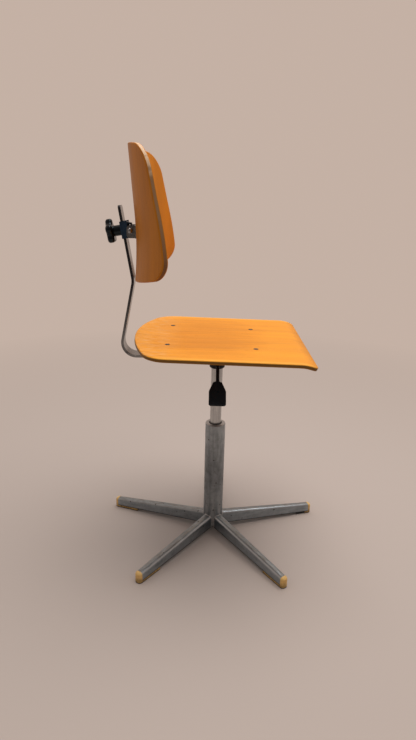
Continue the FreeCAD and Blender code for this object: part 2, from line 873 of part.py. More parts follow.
def bar_back(height):
    """How far behind the column axis the middle of the bar's upper leg is, at a height."""
    return bar_kink_back + (height - bar_kink_height) * tan(bar_upper_lean)


def back_bar():
    """Flat bar: level under the seat, up behind it, with a kink below the backrest."""
    heel_back = bar_kink_back + (bar_kink_height - bar_level) * tan(bar_lower_lean)
    face = strip_face(
        [(-bar_front, bar_level), (-heel_back, bar_level), (-bar_kink_back, bar_kink_height),
         (-bar_back(bar_top), bar_top)],
        [bar_bend_radius, bar_kink_radius], bar_thickness)
    bar = along_y(face, bar_width / 2)
    tip = Vector(-bar_back(bar_top), 0, bar_top)
    corners = [edge for edge in bar.Edges
               if abs(edge.Length - bar_thickness) < running_fit
               and (Vector(edge.CenterOfMass.x, 0, edge.CenterOfMass.z) - tip).Length < running_fit]
    return bar.makeFillet(bar_corner, corners).cut(bar_bolts().Solids)


def bar_bolts():
    """Bolts up through the carrier's floor and the bar."""
    top = channel_top + bar_thickness + bolt_nut_height + bolt_past_nut
    bolts = []
    for back in bar_bolts_back:
        head = hexagon(bolt_flats, bolt_head_height)
        head.translate(Vector(0, 0, channel_floor - bolt_head_height))
        bolt = head.fuse(pillar(bolt_diameter / 2, channel_floor, top)).removeSplitter()
        bolt.translate(Vector(-back, 0, 0))
        bolts.append(bolt)
    return Part.makeCompound(bolts)


def bar_nuts():
    low = channel_top + bar_thickness
    nuts = []
    for back in bar_bolts_back:
        nut = hexagon(bolt_flats, bolt_nut_height)
        nut.translate(Vector(0, 0, low))
        nut = nut.cut(pillar(bolt_diameter / 2, low, low + bolt_nut_height))
        nut.translate(Vector(-back, 0, 0))
        nuts.append(nut)
    return Part.makeCompound(nuts)


clamp_place = FreeCAD.Placement(Vector(-bar_back(clamp_height), 0, clamp_height),
                                FreeCAD.Rotation(AXIS_Y, -bar_upper_lean))
tilt_axis = clamp_place.multVec(Vector(tilt_axis_ahead, 0, -tilt_axis_below))
knob_place = clamp_place.multiply(turn(AXIS_Y, -90))


def bar_clamp():
    """Sleeve round the bar with two cheeks for the tilt bolt and a lip over the bracket."""
    half_length = clamp_length / 2
    front = clamp_slot + clamp_front_wall
    sleeve = block((-clamp_rear, -clamp_half, -half_length), (front, clamp_half, half_length))
    rear_edges = [edge for edge in sleeve.Edges
                  if edge.BoundBox.XMax < -clamp_slot and edge.BoundBox.ZLength > half_length]
    sleeve = sleeve.makeFillet(clamp_edge_radius, rear_edges)
    side = clamp_half - clamp_side_wall
    cheek = block((0, side, -half_length), (clamp_cheek, clamp_half, half_length))
    neck = block((clamp_cheek, side, -tilt_axis_below - cheek_nose_radius),
                 (tilt_axis_ahead, clamp_half, cheek_nose_radius - tilt_axis_below))
    nose = cross_bar(cheek_nose_radius, side, clamp_half, tilt_axis_ahead, -tilt_axis_below)
    cheek = cheek.fuse([neck, nose])
    lip_plan = rounded_face([
        (0, -lip_width / 2, 0), (lip_length, -lip_width / 2, lip_width / 4),
        (lip_length, lip_width / 2, lip_width / 4), (0, lip_width / 2, 0),
    ])
    lip = lip_plan.extrude(AXIS_Z * -lip_thickness)
    lip = placed(lip, FreeCAD.Placement(Vector(front - lip_thickness / 2, 0, half_length),
                                        FreeCAD.Rotation(AXIS_Y, bar_upper_lean + lip_slope)))
    body = sleeve.fuse([cheek, mirrored(cheek), lip]).removeSplitter()
    slot = block((-clamp_slot, -side, -clamp_length), (clamp_slot, side, clamp_length))
    thread = Part.makeCylinder(knob_screw_diameter / 2 + running_fit, clamp_rear + cut_past,
                               ORIGIN, AXIS_X * -1)
    pin = cross_bar(tilt_bolt_diameter / 2, -nut_face, nut_face, tilt_axis_ahead, -tilt_axis_below)
    return placed(body.cut([slot, thread, pin]), clamp_place)


def along_tilt_axis(shape, y, side):
    """Piece built along +Z, set on the tilt axis pointing out to one side."""
    aim = turn(AXIS_X, -90 * side)
    return placed(shape, move(tilt_axis + AXIS_Y * (side * y)).multiply(aim))


def tilt_bolt():
    """Hexagon bolt through the bracket's ears and the clamp's cheeks."""
    head = hexagon(tilt_flats, tilt_head_height)
    shank = pillar(tilt_bolt_diameter / 2, -2 * nut_face - dome_nut_height, 0)
    return along_tilt_axis(head.fuse(shank).removeSplitter(), nut_face, 1)


def dome_nut():
    """Capped nut on the sitter's right."""
    dome = Part.makeSphere(dome_radius, Vector(0, 0, dome_nut_height))
    above = block((-dome_radius, -dome_radius, dome_nut_height),
                  (dome_radius, dome_radius, dome_nut_height + dome_radius))
    nut = hexagon(tilt_flats, dome_nut_height).fuse(dome.common(above)).removeSplitter()
    return along_tilt_axis(nut.cut(pillar(tilt_bolt_diameter / 2, 0, dome_nut_height)), nut_face, -1)


def knob_outline():
    """Star of lobes and valleys, all tangent arcs."""
    step = 360 / knob_lobes
    lobe_out = knob_diameter / 2 - knob_lobe_radius
    joined = knob_lobe_radius + knob_valley_radius
    valley_out = lobe_out * cos(step / 2) + math.sqrt(joined ** 2 - (lobe_out * sin(step / 2)) ** 2)
    share = knob_lobe_radius / joined

    def polar(radius, angle):
        return Vector(radius * cos(angle), radius * sin(angle), 0)

    edges = []
    for i in range(knob_lobes):
        angle = step * i
        lobe = polar(lobe_out, angle)
        next_lobe = polar(lobe_out, angle + step)
        valley = polar(valley_out, angle + step / 2)
        valley_before = polar(valley_out, angle - step / 2)
        start = lobe + (valley_before - lobe) * share
        end = lobe + (valley - lobe) * share
        next_start = next_lobe + (valley - next_lobe) * share
        edges.append(arc(start, polar(knob_diameter / 2, angle), end))
        edges.append(arc(end, polar(valley_out - knob_valley_radius, angle + step / 2), next_start))
    return Part.Face(Part.Wire(edges))


def star_knob():
    """Moulded star knob on a round neck; the screw is moulded into it."""
    base = clamp_rear + free_gap + knob_neck
    head = placed(knob_outline(), move(AXIS_Z * base))
    head = head.extrude(AXIS_Z * knob_head)
    rims = [edge for edge in head.Edges if edge.BoundBox.ZLength < running_fit]
    head = head.makeFillet(knob_edge_radius, rims)
    neck = pillar(knob_neck_diameter / 2, clamp_rear + free_gap, base)
    bore = pillar(knob_screw_diameter / 2, 0, base + knob_screw_in_head)
    return placed(head.fuse(neck).removeSplitter().cut(bore), knob_place)


def clamp_screw():
    """Screw from the knob to the bar's rear face."""
    end = clamp_rear + free_gap + knob_neck + knob_screw_in_head
    return placed(pillar(knob_screw_diameter / 2, half_bar + knob_screw_gap, end), knob_place)


# Backrest


def back_sheet(near, far):
    """Turned sheet between two distances ahead of the backrest's rear face."""
    centre = Vector(-back_lumbar_back - back_lumbar_radius, 0, back_lumbar_height)
    drop = back_lumbar_height - back_bottom + back_bottom_corner
    low_angle = -math.degrees(math.asin(drop / back_lumbar_radius))
    run = back_top - back_lumbar_height

    def point(ahead, angle):
        return centre + Vector(cos(angle), 0, sin(angle)) * (back_lumbar_radius + ahead)

    rise = Vector(-sin(back_lean), 0, cos(back_lean)) * run
    middle = (low_angle + back_lean) / 2
    face = Part.Face(Part.Wire([
        arc(point(near, low_angle), point(near, middle), point(near, back_lean)),
        line(point(near, back_lean), point(near, back_lean) + rise),
        line(point(near, back_lean) + rise, point(far, back_lean) + rise),
        line(point(far, back_lean) + rise, point(far, back_lean)),
        arc(point(far, back_lean), point(far, middle), point(far, low_angle)),
        line(point(far, low_angle), point(near, low_angle)),
    ]))
    axis = Vector(back_axis, 0, 0)
    start = placed(face, turn(AXIS_Z, -back_wrap_angle / 2, axis))
    return start.revolve(axis, AXIS_Z, back_wrap_angle)


def back_outline():
    """Outline of the backrest from the front, on the YZ plane, as tangent arcs and side lines."""
    slope = tan(back_side_slope)
    lean = 1 / cos(back_side_slope)
    side_angle = 90 - back_side_slope

    def corner_centre(bow_centre, bow_radius, radius, above):
        """Where a corner of some radius touches both a bowed edge and the side line."""
        # the side line moved in by the radius is half = reach - slope * z
        reach = back_half_width + slope * back_lumbar_height - lean * radius
        # half squared + (z - bow_centre) squared = (bow_radius - radius) squared
        a = 1 + slope ** 2
        b = -2 * (slope * reach + bow_centre)
        c = reach ** 2 + bow_centre ** 2 - (bow_radius - radius) ** 2
        root = math.sqrt(b ** 2 - 4 * a * c)
        z = (root - b) / (2 * a) if above else (-root - b) / (2 * a)
        return reach - slope * z, z

    def polar(y, z, radius, angle, side):
        """Point at an angle from straight up, on one side of the middle plane."""
        return Vector(0, side * (y + radius * sin(angle)), z + radius * cos(angle))

    top_centre = back_top - back_top_radius
    low_centre = back_bottom + back_bottom_radius
    top_y, top_z = corner_centre(top_centre, back_top_radius, back_top_corner, True)
    low_y, low_z = corner_centre(low_centre, back_bottom_radius, back_bottom_corner, False)
    top_meet = math.degrees(math.atan2(top_y, top_z - top_centre))
    low_meet = 180 - math.degrees(math.atan2(low_y, low_centre - low_z))
    edges = [
        arc(polar(0, top_centre, back_top_radius, top_meet, -1), Vector(0, 0, back_top),
            polar(0, top_centre, back_top_radius, top_meet, 1)),
        arc(polar(0, low_centre, back_bottom_radius, low_meet, -1), Vector(0, 0, back_bottom),
            polar(0, low_centre, back_bottom_radius, low_meet, 1)),
    ]
    for side in (1, -1):
        edges.append(arc(polar(top_y, top_z, back_top_corner, top_meet, side),
                         polar(top_y, top_z, back_top_corner, (top_meet + side_angle) / 2, side),
                         polar(top_y, top_z, back_top_corner, side_angle, side)))
        edges.append(line(polar(top_y, top_z, back_top_corner, side_angle, side),
                          polar(low_y, low_z, back_bottom_corner, side_angle, side)))
        edges.append(arc(polar(low_y, low_z, back_bottom_corner, side_angle, side),
                         polar(low_y, low_z, back_bottom_corner, (side_angle + low_meet) / 2, side),
                         polar(low_y, low_z, back_bottom_corner, low_meet, side)))
    return Part.Face(Part.Wire(Part.sortEdges(edges)[0]))


def back_rivets():
    """Rivets through the backrest and its bracket, with broad flat heads in front."""
    middle = bracket_middle()
    front = back_face(middle.z) + back_ply
    length = back_ply + bracket_wall
    rivet = turned([
        (0, -length - rivet_tail), (rivet_tail_diameter / 2, -length - rivet_tail),
        (rivet_tail_diameter / 2, -length), (rivet_diameter / 2, -length),
        (rivet_diameter / 2, -rivet_head / 2), (rivet_head_diameter / 2, -rivet_head / 2),
        (rivet_head_diameter / 2, rivet_head / 4), (rivet_head_diameter / 4, rivet_head / 2),
        (0, rivet_head / 2),
    ])
    aim = turn(AXIS_Y, 90)
    return Part.makeCompound([
        placed(rivet, move(Vector(front, y, middle.z + z)).multiply(aim))
        for y in (-rivet_side, rivet_side) for z in (-rivet_rise, rivet_rise)])


def back_face(height):
    """Rear face of the backrest at the middle plane, near the lumbar bulge."""
    rise = height - back_lumbar_height
    return -back_lumbar_back - back_lumbar_radius + math.sqrt(back_lumbar_radius ** 2 - rise ** 2)


def bracket_middle():
    return tilt_axis - AXIS_Z * bracket_drop


def back_shell():
    """Moulded plywood backrest."""
    reach = back_axis + back_lumbar_back
    outline = placed(back_outline(), move(AXIS_X * (-2 * reach)))
    shell = rounded_shell(back_sheet(0, back_ply), outline, AXIS_X * (2 * reach + back_axis))
    return shell.cut(back_rivets().Solids)


def back_bracket():
    """Plate that follows the backrest's rear face, with two ears on the tilt bolt."""
    middle = bracket_middle()
    half_height = bracket_height / 2
    face = back_face(middle.z)
    plate = back_sheet(-bracket_wall, 0).common(
        block((face - back_lumbar_back, -bracket_width / 2, middle.z - half_height),
              (face + back_lumbar_back / 2, bracket_width / 2, middle.z + half_height)))
    profile = side_face([
        (tilt_axis.x - ear_behind_bolt, middle.z - half_height, ear_corner),
        (face + back_ply / 2, middle.z - half_height, 0),
        (face + back_ply / 2, middle.z + half_height, 0),
        (tilt_axis.x - ear_behind_bolt, middle.z + half_height, ear_corner),
    ])
    ear = placed(profile, move(AXIS_Y * ear_inside))
    ear = ear.extrude(AXIS_Y * bracket_wall).cut(back_sheet(0, back_ply))
    hole_radius = tilt_bolt_diameter / 2 + running_fit
    hole = cross_bar(hole_radius, -nut_face, nut_face, tilt_axis.x, tilt_axis.z)
    bracket = plate.fuse([ear, mirrored(ear)]).removeSplitter()
    return bracket.cut([hole, *back_rivets().Solids])


# All nodes, one file each

pieces = {"stand_tube": stand_tube()}
for number in range(leg_count):
    place = leg_place(number)
    worn = number == 0
    pieces["leg_%d" % (number + 1)] = placed(leg(), place)
    cap = foot_cap(worn_sole_length if worn else sole_length)
    pieces["foot_cap_%d" % (number + 1)] = placed(cap, place)
pieces["foot_pad"] = placed(foot_pad(), leg_place(0))
pieces["floor_disc"] = ring(bore_radius, spigot_radius + running_fit, floor_disc_bottom, floor_disc_top)
pieces["lower_bearing_washer"] = ring(washer_radius, spigot_radius + free_gap,
                                      floor_disc_top, ball_bottom)
pieces["bearing_balls"] = bearing_balls()
pieces["bearing_cage"] = bearing_cage()
pieces["upper_bearing_washer"] = ring(washer_radius, spigot_radius, ball_top, shoulder)
pieces["rod_clip"] = rod_clip()
pieces["bump_stop"] = ring(bump_radius, rod_radius, shoulder, shoulder + bump_length)
pieces["piston_rod"] = piston_rod()
pieces["piston"] = piston()
pieces["piston_ring"] = piston_ring()
pieces["guide_bush"] = guide_bush()
pieces["gas_cylinder"] = gas_cylinder()
guide_top = cylinder_bottom + rod_guide_length
pieces["rod_guide"] = ring(cylinder_bore, rod_radius + running_fit, cylinder_bottom, guide_top)
pieces["rod_seal"] = ring(cylinder_bore, rod_radius + running_fit, guide_top, seal_top)
pieces["valve_body"] = valve_body()
pieces["valve_pin"] = valve_pin()
pieces["carrier_hub"] = carrier_hub()
pieces["carrier_channel"] = carrier_channel()
pieces["rear_strap"] = strap(-screw_back)
pieces["front_strap"] = strap(screw_ahead)
pieces["seat_shell"] = seat_shell()
pieces["seat_screws"] = seat_screws()
pieces["seat_nuts"] = seat_nuts()
pieces["lever_lugs"] = placed(lever_lugs(), carrier_turn)
pieces["lever_pin"] = placed(lever_pin(), carrier_turn)
pieces["lever_rod"] = placed(lever_rod(), carrier_turn)
pieces["lever_paddle"] = placed(lever_paddle(), carrier_turn)
pieces["back_bar"] = back_bar()
pieces["bar_bolts"] = bar_bolts()
pieces["bar_nuts"] = bar_nuts()
pieces["bar_clamp"] = bar_clamp()
pieces["tilt_bolt"] = tilt_bolt()
pieces["dome_nut"] = dome_nut()
pieces["star_knob"] = star_knob()
pieces["clamp_screw"] = clamp_screw()
pieces["back_shell"] = back_shell()
pieces["back_bracket"] = back_bracket()
pieces["back_rivets"] = back_rivets()

os.makedirs("parts", exist_ok=True)
for name, shape in pieces.items():
    shape.exportStep("parts/%s.step" % name)
    state = "valid" if shape.isValid() else "INVALID"
    print(name, len(shape.Solids), "solids", round(shape.Volume), "mm3", state)
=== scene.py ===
# %% [markdown]
# A swivel workshop chair: a plywood seat and back, a gas-spring column and a five-legged foot.
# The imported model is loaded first, and its shapes are never changed. What follows dresses it: the two
# plywood shells are built again with a rounded rim and grain, the fasteners get heads and slots, and the
# metal and plastic pieces get a smooth skin and a finish.

# %% Load the frame
import bpy
import bmesh
import json
import math
from mathutils import Matrix, Vector


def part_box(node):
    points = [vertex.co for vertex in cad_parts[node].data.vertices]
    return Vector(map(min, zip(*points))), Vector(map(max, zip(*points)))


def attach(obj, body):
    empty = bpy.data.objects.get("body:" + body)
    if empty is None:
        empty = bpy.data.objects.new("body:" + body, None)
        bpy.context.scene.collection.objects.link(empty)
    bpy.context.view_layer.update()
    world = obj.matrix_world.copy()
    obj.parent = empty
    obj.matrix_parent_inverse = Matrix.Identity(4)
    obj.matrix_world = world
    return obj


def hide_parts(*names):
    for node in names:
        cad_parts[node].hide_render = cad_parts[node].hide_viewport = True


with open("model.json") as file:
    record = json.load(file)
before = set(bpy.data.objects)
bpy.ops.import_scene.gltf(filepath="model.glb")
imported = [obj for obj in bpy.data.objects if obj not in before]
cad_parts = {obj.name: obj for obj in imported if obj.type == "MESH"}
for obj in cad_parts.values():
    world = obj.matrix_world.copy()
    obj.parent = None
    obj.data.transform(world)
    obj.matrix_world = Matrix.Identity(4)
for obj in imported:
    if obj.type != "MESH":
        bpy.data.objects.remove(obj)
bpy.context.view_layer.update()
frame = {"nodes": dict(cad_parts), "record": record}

cad_nodes = frame["nodes"]
record = frame["record"]
body_of = {node: body for body, nodes in record["behaviour"]["bodies"].items() for node in nodes}
MM = 0.001

# %% [markdown]
# The camera. Its place and direction come from lines and points that are known on the chair: the
# feet, the column and the edge of the seat. The lens is written as a focal length in pixels, which
# becomes millimetres for Blender's 36 mm sensor on the picture's long side.

# %% Camera
focal_pixels = 536.56
picture_height = 740
right = Vector((0.99941, -0.02533, 0.02312)).normalized()
forward = Vector((0.03128, 0.94962, -0.31185)).normalized()
up = right.cross(forward)
camera_data = bpy.data.cameras.new("chair_camera")
camera_data.lens = camera_data.sensor_width * focal_pixels / picture_height
camera = bpy.data.objects.new("chair_camera", camera_data)
camera.matrix_world = Matrix((right, up, -forward)).transposed().to_4x4()
camera.location = Vector((-0.06282, -1.24014, 0.84833))
bpy.context.scene.collection.objects.link(camera)
bpy.context.scene.camera = camera
print("camera lens", round(camera_data.lens, 2), "mm")

# %% [markdown]
# A finish is a small tree of shader nodes. It could be clicked together by hand, but then it couldn't be
# read or changed here. A few helpers keep the trees short. The first ones start a material, add a node
# and fill in its sockets.

# %% Helpers for nodes
def new_finish(name):
    """New material, its tree and its shader."""
    material = bpy.data.materials.new(name)
    material.use_nodes = True
    tree = material.node_tree
    return material, tree, tree.nodes["Principled BSDF"]


def fill(tree, socket, value):
    """Sets a socket to a value, or links it to another socket."""
    if isinstance(value, bpy.types.NodeSocket):
        tree.links.new(value, socket)
    else:
        socket.default_value = value


def add(tree, kind, **sockets):
    """Node of a kind; each keyword fills the socket of that name."""
    node = tree.nodes.new(kind)
    for name, value in sockets.items():
        fill(tree, node.inputs[name.replace("_", " ")], value)
    return node


def sum_of(tree, operation, first, second=0.5):
    """One sum on two numbers or sockets."""
    node = tree.nodes.new("ShaderNodeMath")
    node.operation = operation
    fill(tree, node.inputs[0], first)
    fill(tree, node.inputs[1], second)
    return node.outputs[0]


# %% [markdown]
# Colours. A ramp turns a number from zero to one into a colour, so a length is first set against a span. A
# mix lays one colour over another, or multiplies the two as a stain does.

# %% Helpers for colours
def grey(value):
    return (value, value, value)


def ramp(tree, factor, *stops):
    """Colour ramp through (position, colour) stops."""
    node = tree.nodes.new("ShaderNodeValToRGB")
    tree.links.new(factor, node.inputs["Fac"])
    points = node.color_ramp.elements
    while len(points) < len(stops):
        points.new(0.5)
    for point, (position, colour) in zip(points, stops):
        point.position = position
        point.color = (*colour, 1)
    return node.outputs["Color"]


def ramp_over(tree, value, span, *stops):
    """Ramp of greys through (length, level) stops, for a length in metres that is set against a span."""
    part = sum_of(tree, "DIVIDE", value, span)
    return ramp(tree, part, *[(length / span, grey(level)) for length, level in stops])


def blend(tree, kind, factor, first, second):
    """Two colours mixed by a factor, in one of Blender's mix modes."""
    node = tree.nodes.new("ShaderNodeMix")
    node.data_type = "RGBA"
    node.blend_type = kind
    for socket, value in zip((node.inputs[0], node.inputs[6], node.inputs[7]), (factor, first, second)):
        fill(tree, socket, (*value, 1) if isinstance(value, tuple) else value)
    return node.outputs[2]


def times(tree, first, second):
    """Two colours multiplied."""
    return blend(tree, "MULTIPLY", 1.0, first, second)


# %% [markdown]
# Patterns. They are made from noise on the object's own coordinates and not from pictures, so they have no
# seams and keep their scale in metres. A finish can also read numbers that a piece stores on its points. A
# bump shows in the light without moving a point.

# %% Helpers for patterns
def place_of(tree):
    """The object's own coordinates, in metres."""
    return add(tree, "ShaderNodeTexCoord").outputs["Object"]


def stored(tree, name, output="Fac"):
    """A number or vector kept on the mesh's points."""
    node = tree.nodes.new("ShaderNodeAttribute")
    node.attribute_name = name
    return node.outputs[output]


def noise(tree, vector, scales, detail=4.0, roughness=0.55):
    """Noise on a vector that is stretched by axis, for a pattern with a direction."""
    mapping = add(tree, "ShaderNodeMapping", Vector=vector, Scale=scales)
    node = add(tree, "ShaderNodeTexNoise", Vector=mapping.outputs["Vector"], Scale=1.0, Detail=detail,
               Roughness=roughness)
    return node.outputs["Fac"]


def bump(tree, shader, height, strength, distance):
    node = add(tree, "ShaderNodeBump", Height=height, Strength=strength, Distance=distance)
    tree.links.new(node.outputs["Normal"], shader.inputs["Normal"])


def even(scale):
    return (scale, scale, scale)


# %% [markdown]
# Lacquered beech. Both shells are moulded from sheets of veneer: along the seat the grain runs front to
# back, and up the backrest it runs upwards. Long noise makes the veneer's broad bands, a finer one its
# stripes, and short dark dashes the flecks that tell beech from other woods. Over the rounded rim the
# finish changes to the cut edge of the plies, by two numbers that the shell keeps on its points.

# %% Beech finish
ply_waves = 38.0


def beech(name, along, deep, light, edge_dark, edge_light):
    """Beech ply with its grain along one axis; returns its parts and the colour so far."""
    material, tree, shader = new_finish(name)
    place = place_of(tree)

    def grain(across, stretch, detail, roughness):
        scales = [across] * 3
        scales[along] = across * stretch
        return noise(tree, place, scales, detail, roughness)

    bands = grain(26.0, 0.06, 3.0, 0.5)
    stripes = grain(120.0, 0.035, 3.0, 0.6)
    flecks = grain(900.0, 0.12, 1.0, 0.4)
    colour = ramp(tree, bands, (0.30, deep), (0.70, light))
    colour = times(tree, colour, ramp(tree, stripes, (0.34, (0.91, 0.875, 0.825)), (0.60, grey(1.0))))
    colour = times(tree, colour, ramp(tree, flecks, (0.27, (0.84, 0.76, 0.66)), (0.36, grey(1.0))))
    plies = sum_of(tree, "SINE", sum_of(tree, "MULTIPLY", stored(tree, "layer"), ply_waves))
    edge = ramp(tree, sum_of(tree, "MULTIPLY_ADD", plies, 0.5), (0.2, edge_dark), (0.8, edge_light))
    shader.inputs["Specular IOR Level"].default_value = 0.15
    tree.links.new(ramp(tree, bands, (0.3, grey(0.42)), (0.7, grey(0.52))), shader.inputs["Roughness"])
    bump(tree, shader, stripes, 0.06, 0.0002)
    return material, tree, shader, colour, edge


def trim(tree, shader, colour, edge, start, end):
    """Puts the plies' cut edge on the rim and links the colour to the shader."""
    on_edge = ramp(tree, stored(tree, "rim"), (start, grey(0.0)), (end, grey(1.0)))
    tree.links.new(blend(tree, "MIX", on_edge, colour, edge), shader.inputs["Base Color"])


# %% [markdown]
# The seat's veneer is warm and light. Where people sit it has worn a little darker, and near the rear edge a
# few fine scuffs catch the light. Along both sides a painted highlight lightens a band by the rounded edge,
# and over the rolled front edge a painted shade darkens it. Underneath it never had its honey lacquer and is
# a dull brown.

# %% Seat finish
seat_skew = math.radians(-2.0)
worn_middle = (-0.022, 0.0, 0.526)
worn_narrowing = (1.0, 0.75, 1.0)
worn_ragged = 0.12
seat_span = 0.25
rear_span = -0.2
seat_beech, seat_tree, seat_shader, seat_colour, seat_edge = beech(
    "seat_beech", 0, (0.84, 0.302, 0.018), (0.96, 0.358, 0.024), (0.15, 0.068, 0.014), (0.29, 0.135, 0.030))
seat_point = place_of(seat_tree)
narrowed = add(seat_tree, "ShaderNodeMapping", Vector=seat_point, Scale=worn_narrowing)
from_middle = add(seat_tree, "ShaderNodeVectorMath", Vector=narrowed.outputs["Vector"])
from_middle.operation = "DISTANCE"
from_middle.inputs[1].default_value = worn_middle
uneven = sum_of(seat_tree, "MULTIPLY", noise(seat_tree, seat_point, (14, 20, 14), 3.0, 0.6), worn_ragged)
worn = sum_of(seat_tree, "SUBTRACT", from_middle.outputs["Value"], uneven)
worn = ramp(seat_tree, worn, (0.0, grey(0.85)), (0.10, grey(0.0)))
seat_colour = blend(seat_tree, "MULTIPLY", worn, seat_colour, (0.82, 0.775, 0.69))
along_seat = add(seat_tree, "ShaderNodeSeparateXYZ", Vector=seat_point).outputs["X"]
near_rear = ramp_over(seat_tree, along_seat, rear_span, (-0.084, 0.0), (-0.136, 0.9))
scuffs = noise(seat_tree, seat_point, (45, 260, 45), 2.0, 0.5)
scuffs = times(seat_tree, near_rear, ramp(seat_tree, scuffs, (0.46, grey(0.0)), (0.72, grey(0.50))))
seat_colour = blend(seat_tree, "MIX", scuffs, seat_colour, (0.90, 0.55, 0.25))
square_on = add(seat_tree, "ShaderNodeMapping", Vector=seat_point, Rotation=(0.0, 0.0, -seat_skew))
plan = add(seat_tree, "ShaderNodeSeparateXYZ", Vector=square_on.outputs["Vector"]).outputs
from_line = sum_of(seat_tree, "ABSOLUTE", plan["Y"])
# Painted highlight: a lighter band along both side edges, where the rounded rim catches the light.
painted_edge_highlight = ramp_over(seat_tree, from_line, seat_span, (0.185, 0.0), (0.19625, 0.75))
seat_colour = blend(seat_tree, "MIX", painted_edge_highlight, seat_colour, (0.97, 0.425, 0.050))
# Painted shade over the rolled front edge, which turns away from the light.
painted_front_shade = ramp_over(seat_tree, plan["X"], seat_span, (0.1825, 0.0), (0.20625, 1.0))
seat_colour = blend(seat_tree, "MULTIPLY", painted_front_shade, seat_colour, (0.74, 0.72, 0.86))
under = sum_of(seat_tree, "GREATER_THAN", stored(seat_tree, "layer"), 0.72)
seat_colour = blend(seat_tree, "MULTIPLY", under, seat_colour, (0.42, 0.40, 0.40))
trim(seat_tree, seat_shader, seat_colour, seat_edge, 0.46, 0.66)
print("seat finish has", len(seat_tree.nodes), "nodes")

# %% [markdown]
# The backrest is darker behind than in front. Its cut edge is a dull greyish brown, and the lacquer has
# gone from the rim at the upper corner on the side where the lever is, where a hand takes hold of it.

# %% Backrest finish
bare_corner = (-0.17, -0.15, 0.915)
back_beech, back_tree, back_shader, back_colour, back_edge = beech(
    "back_beech", 2, (0.47, 0.145, 0.004), (0.58, 0.186, 0.007), (0.30, 0.150, 0.064), (0.46, 0.245, 0.117))
back_point = place_of(back_tree)
front_bands = noise(back_tree, back_point, (26, 26, 1.6), 3.0, 0.5)
front_colour = ramp(back_tree, front_bands, (0.3, (0.56, 0.172, 0.003)), (0.7, (0.68, 0.212, 0.005)))
back_colour = blend(back_tree, "MIX", sum_of(back_tree, "GREATER_THAN", stored(back_tree, "layer"), 0.5),
                    back_colour, front_colour)
corner_reach = add(back_tree, "ShaderNodeVectorMath", Vector=back_point)
corner_reach.operation = "DISTANCE"
corner_reach.inputs[1].default_value = bare_corner
ragged = noise(back_tree, back_point, even(90), 3.0, 0.6)
bare = sum_of(back_tree, "ADD", corner_reach.outputs["Value"], sum_of(back_tree, "MULTIPLY", ragged, 0.08))
bare = ramp(back_tree, bare, (0.065, grey(1.0)), (0.095, grey(0.0)))
back_rise = add(back_tree, "ShaderNodeSeparateXYZ", Vector=back_point).outputs["Z"]
# The cut edge is darker lower down and lighter towards the top.
rim_darker_low = ramp(back_tree, back_rise, (0.69, (0.62, 0.46, 0.32)), (0.80, grey(1.0)))
back_edge = times(back_tree, back_edge, rim_darker_low)
back_edge = blend(back_tree, "MIX", bare, back_edge, (0.85, 0.56, 0.34))
trim(back_tree, back_shader, back_colour, back_edge, 0.48, 0.64)
print("beech finishes:", seat_beech.name, back_beech.name)

# %% [markdown]
# A moulded shell is a sheet with an outline and a rounded rim. Both shells are the same left and right, so
# half of an outline is enough. These helpers complete it, find which way is out along it, and give the
# section of the rim: a quarter round from one face, the cut edge, and a quarter round to the other.

# %% Outline helpers
on_line = 1e-9
rounded = 0.6


def arc_points(centre, radius, start, end, count):
    """Points on an arc, from one angle to another in degrees."""
    points = []
    for i in range(count):
        angle = math.radians(start + (end - start) * i / (count - 1))
        points.append((centre[0] + radius * math.cos(angle), centre[1] + radius * math.sin(angle)))
    return points


def whole_outline(side, columns):
    """Closed outline from one half; a straight end is cut into columns."""
    closed_end = side[-1].y < on_line
    front = []
    if not closed_end:
        width = side[-1].y
        front = [Vector((side[-1].x, width - 2 * width * i / columns)) for i in range(1, columns)]
    back = [Vector((point.x, -point.y)) for point in reversed(side[1:-1] if closed_end else side[1:])]
    return side + front + back


def loop_normals(loop):
    """Outward unit normals of a closed outline that runs either way round."""
    area = sum(loop[i - 1].x * loop[i].y - loop[i].x * loop[i - 1].y for i in range(len(loop)))
    normals = []
    for i in range(len(loop)):
        step = loop[(i + 1) % len(loop)] - loop[i - 1]
        normals.append(Vector((step.y, -step.x)).normalized() * math.copysign(1, area))
    return normals


def rim_profile(thickness, radius, steps=6):
    """(inset, depth, how far round) from one face, over the edge, to the other."""
    stops = []
    for i in range(steps + 1):
        angle = math.pi / 2 * i / steps
        stops.append((radius * (1 - math.sin(angle)), radius * (1 - math.cos(angle)), rounded * i / steps))
    for i in range(1, steps):
        stops.append((0.0, radius + (thickness - 2 * radius) * i / steps, 1.0))
    for i in range(steps + 1):
        angle = math.pi / 2 * i / steps
        stops.append((radius * (1 - math.cos(angle)), thickness - radius * (1 - math.sin(angle)),
                      rounded - rounded * i / steps))
    return stops


# %% [markdown]
# The shell itself. Each point of the half outline and its mirror image make one row of the sheet, on both
# faces, and the rim joins them with rings of points. Two numbers are stored on every point for the finish:
# how far round the rim it is, and how deep in the plies.

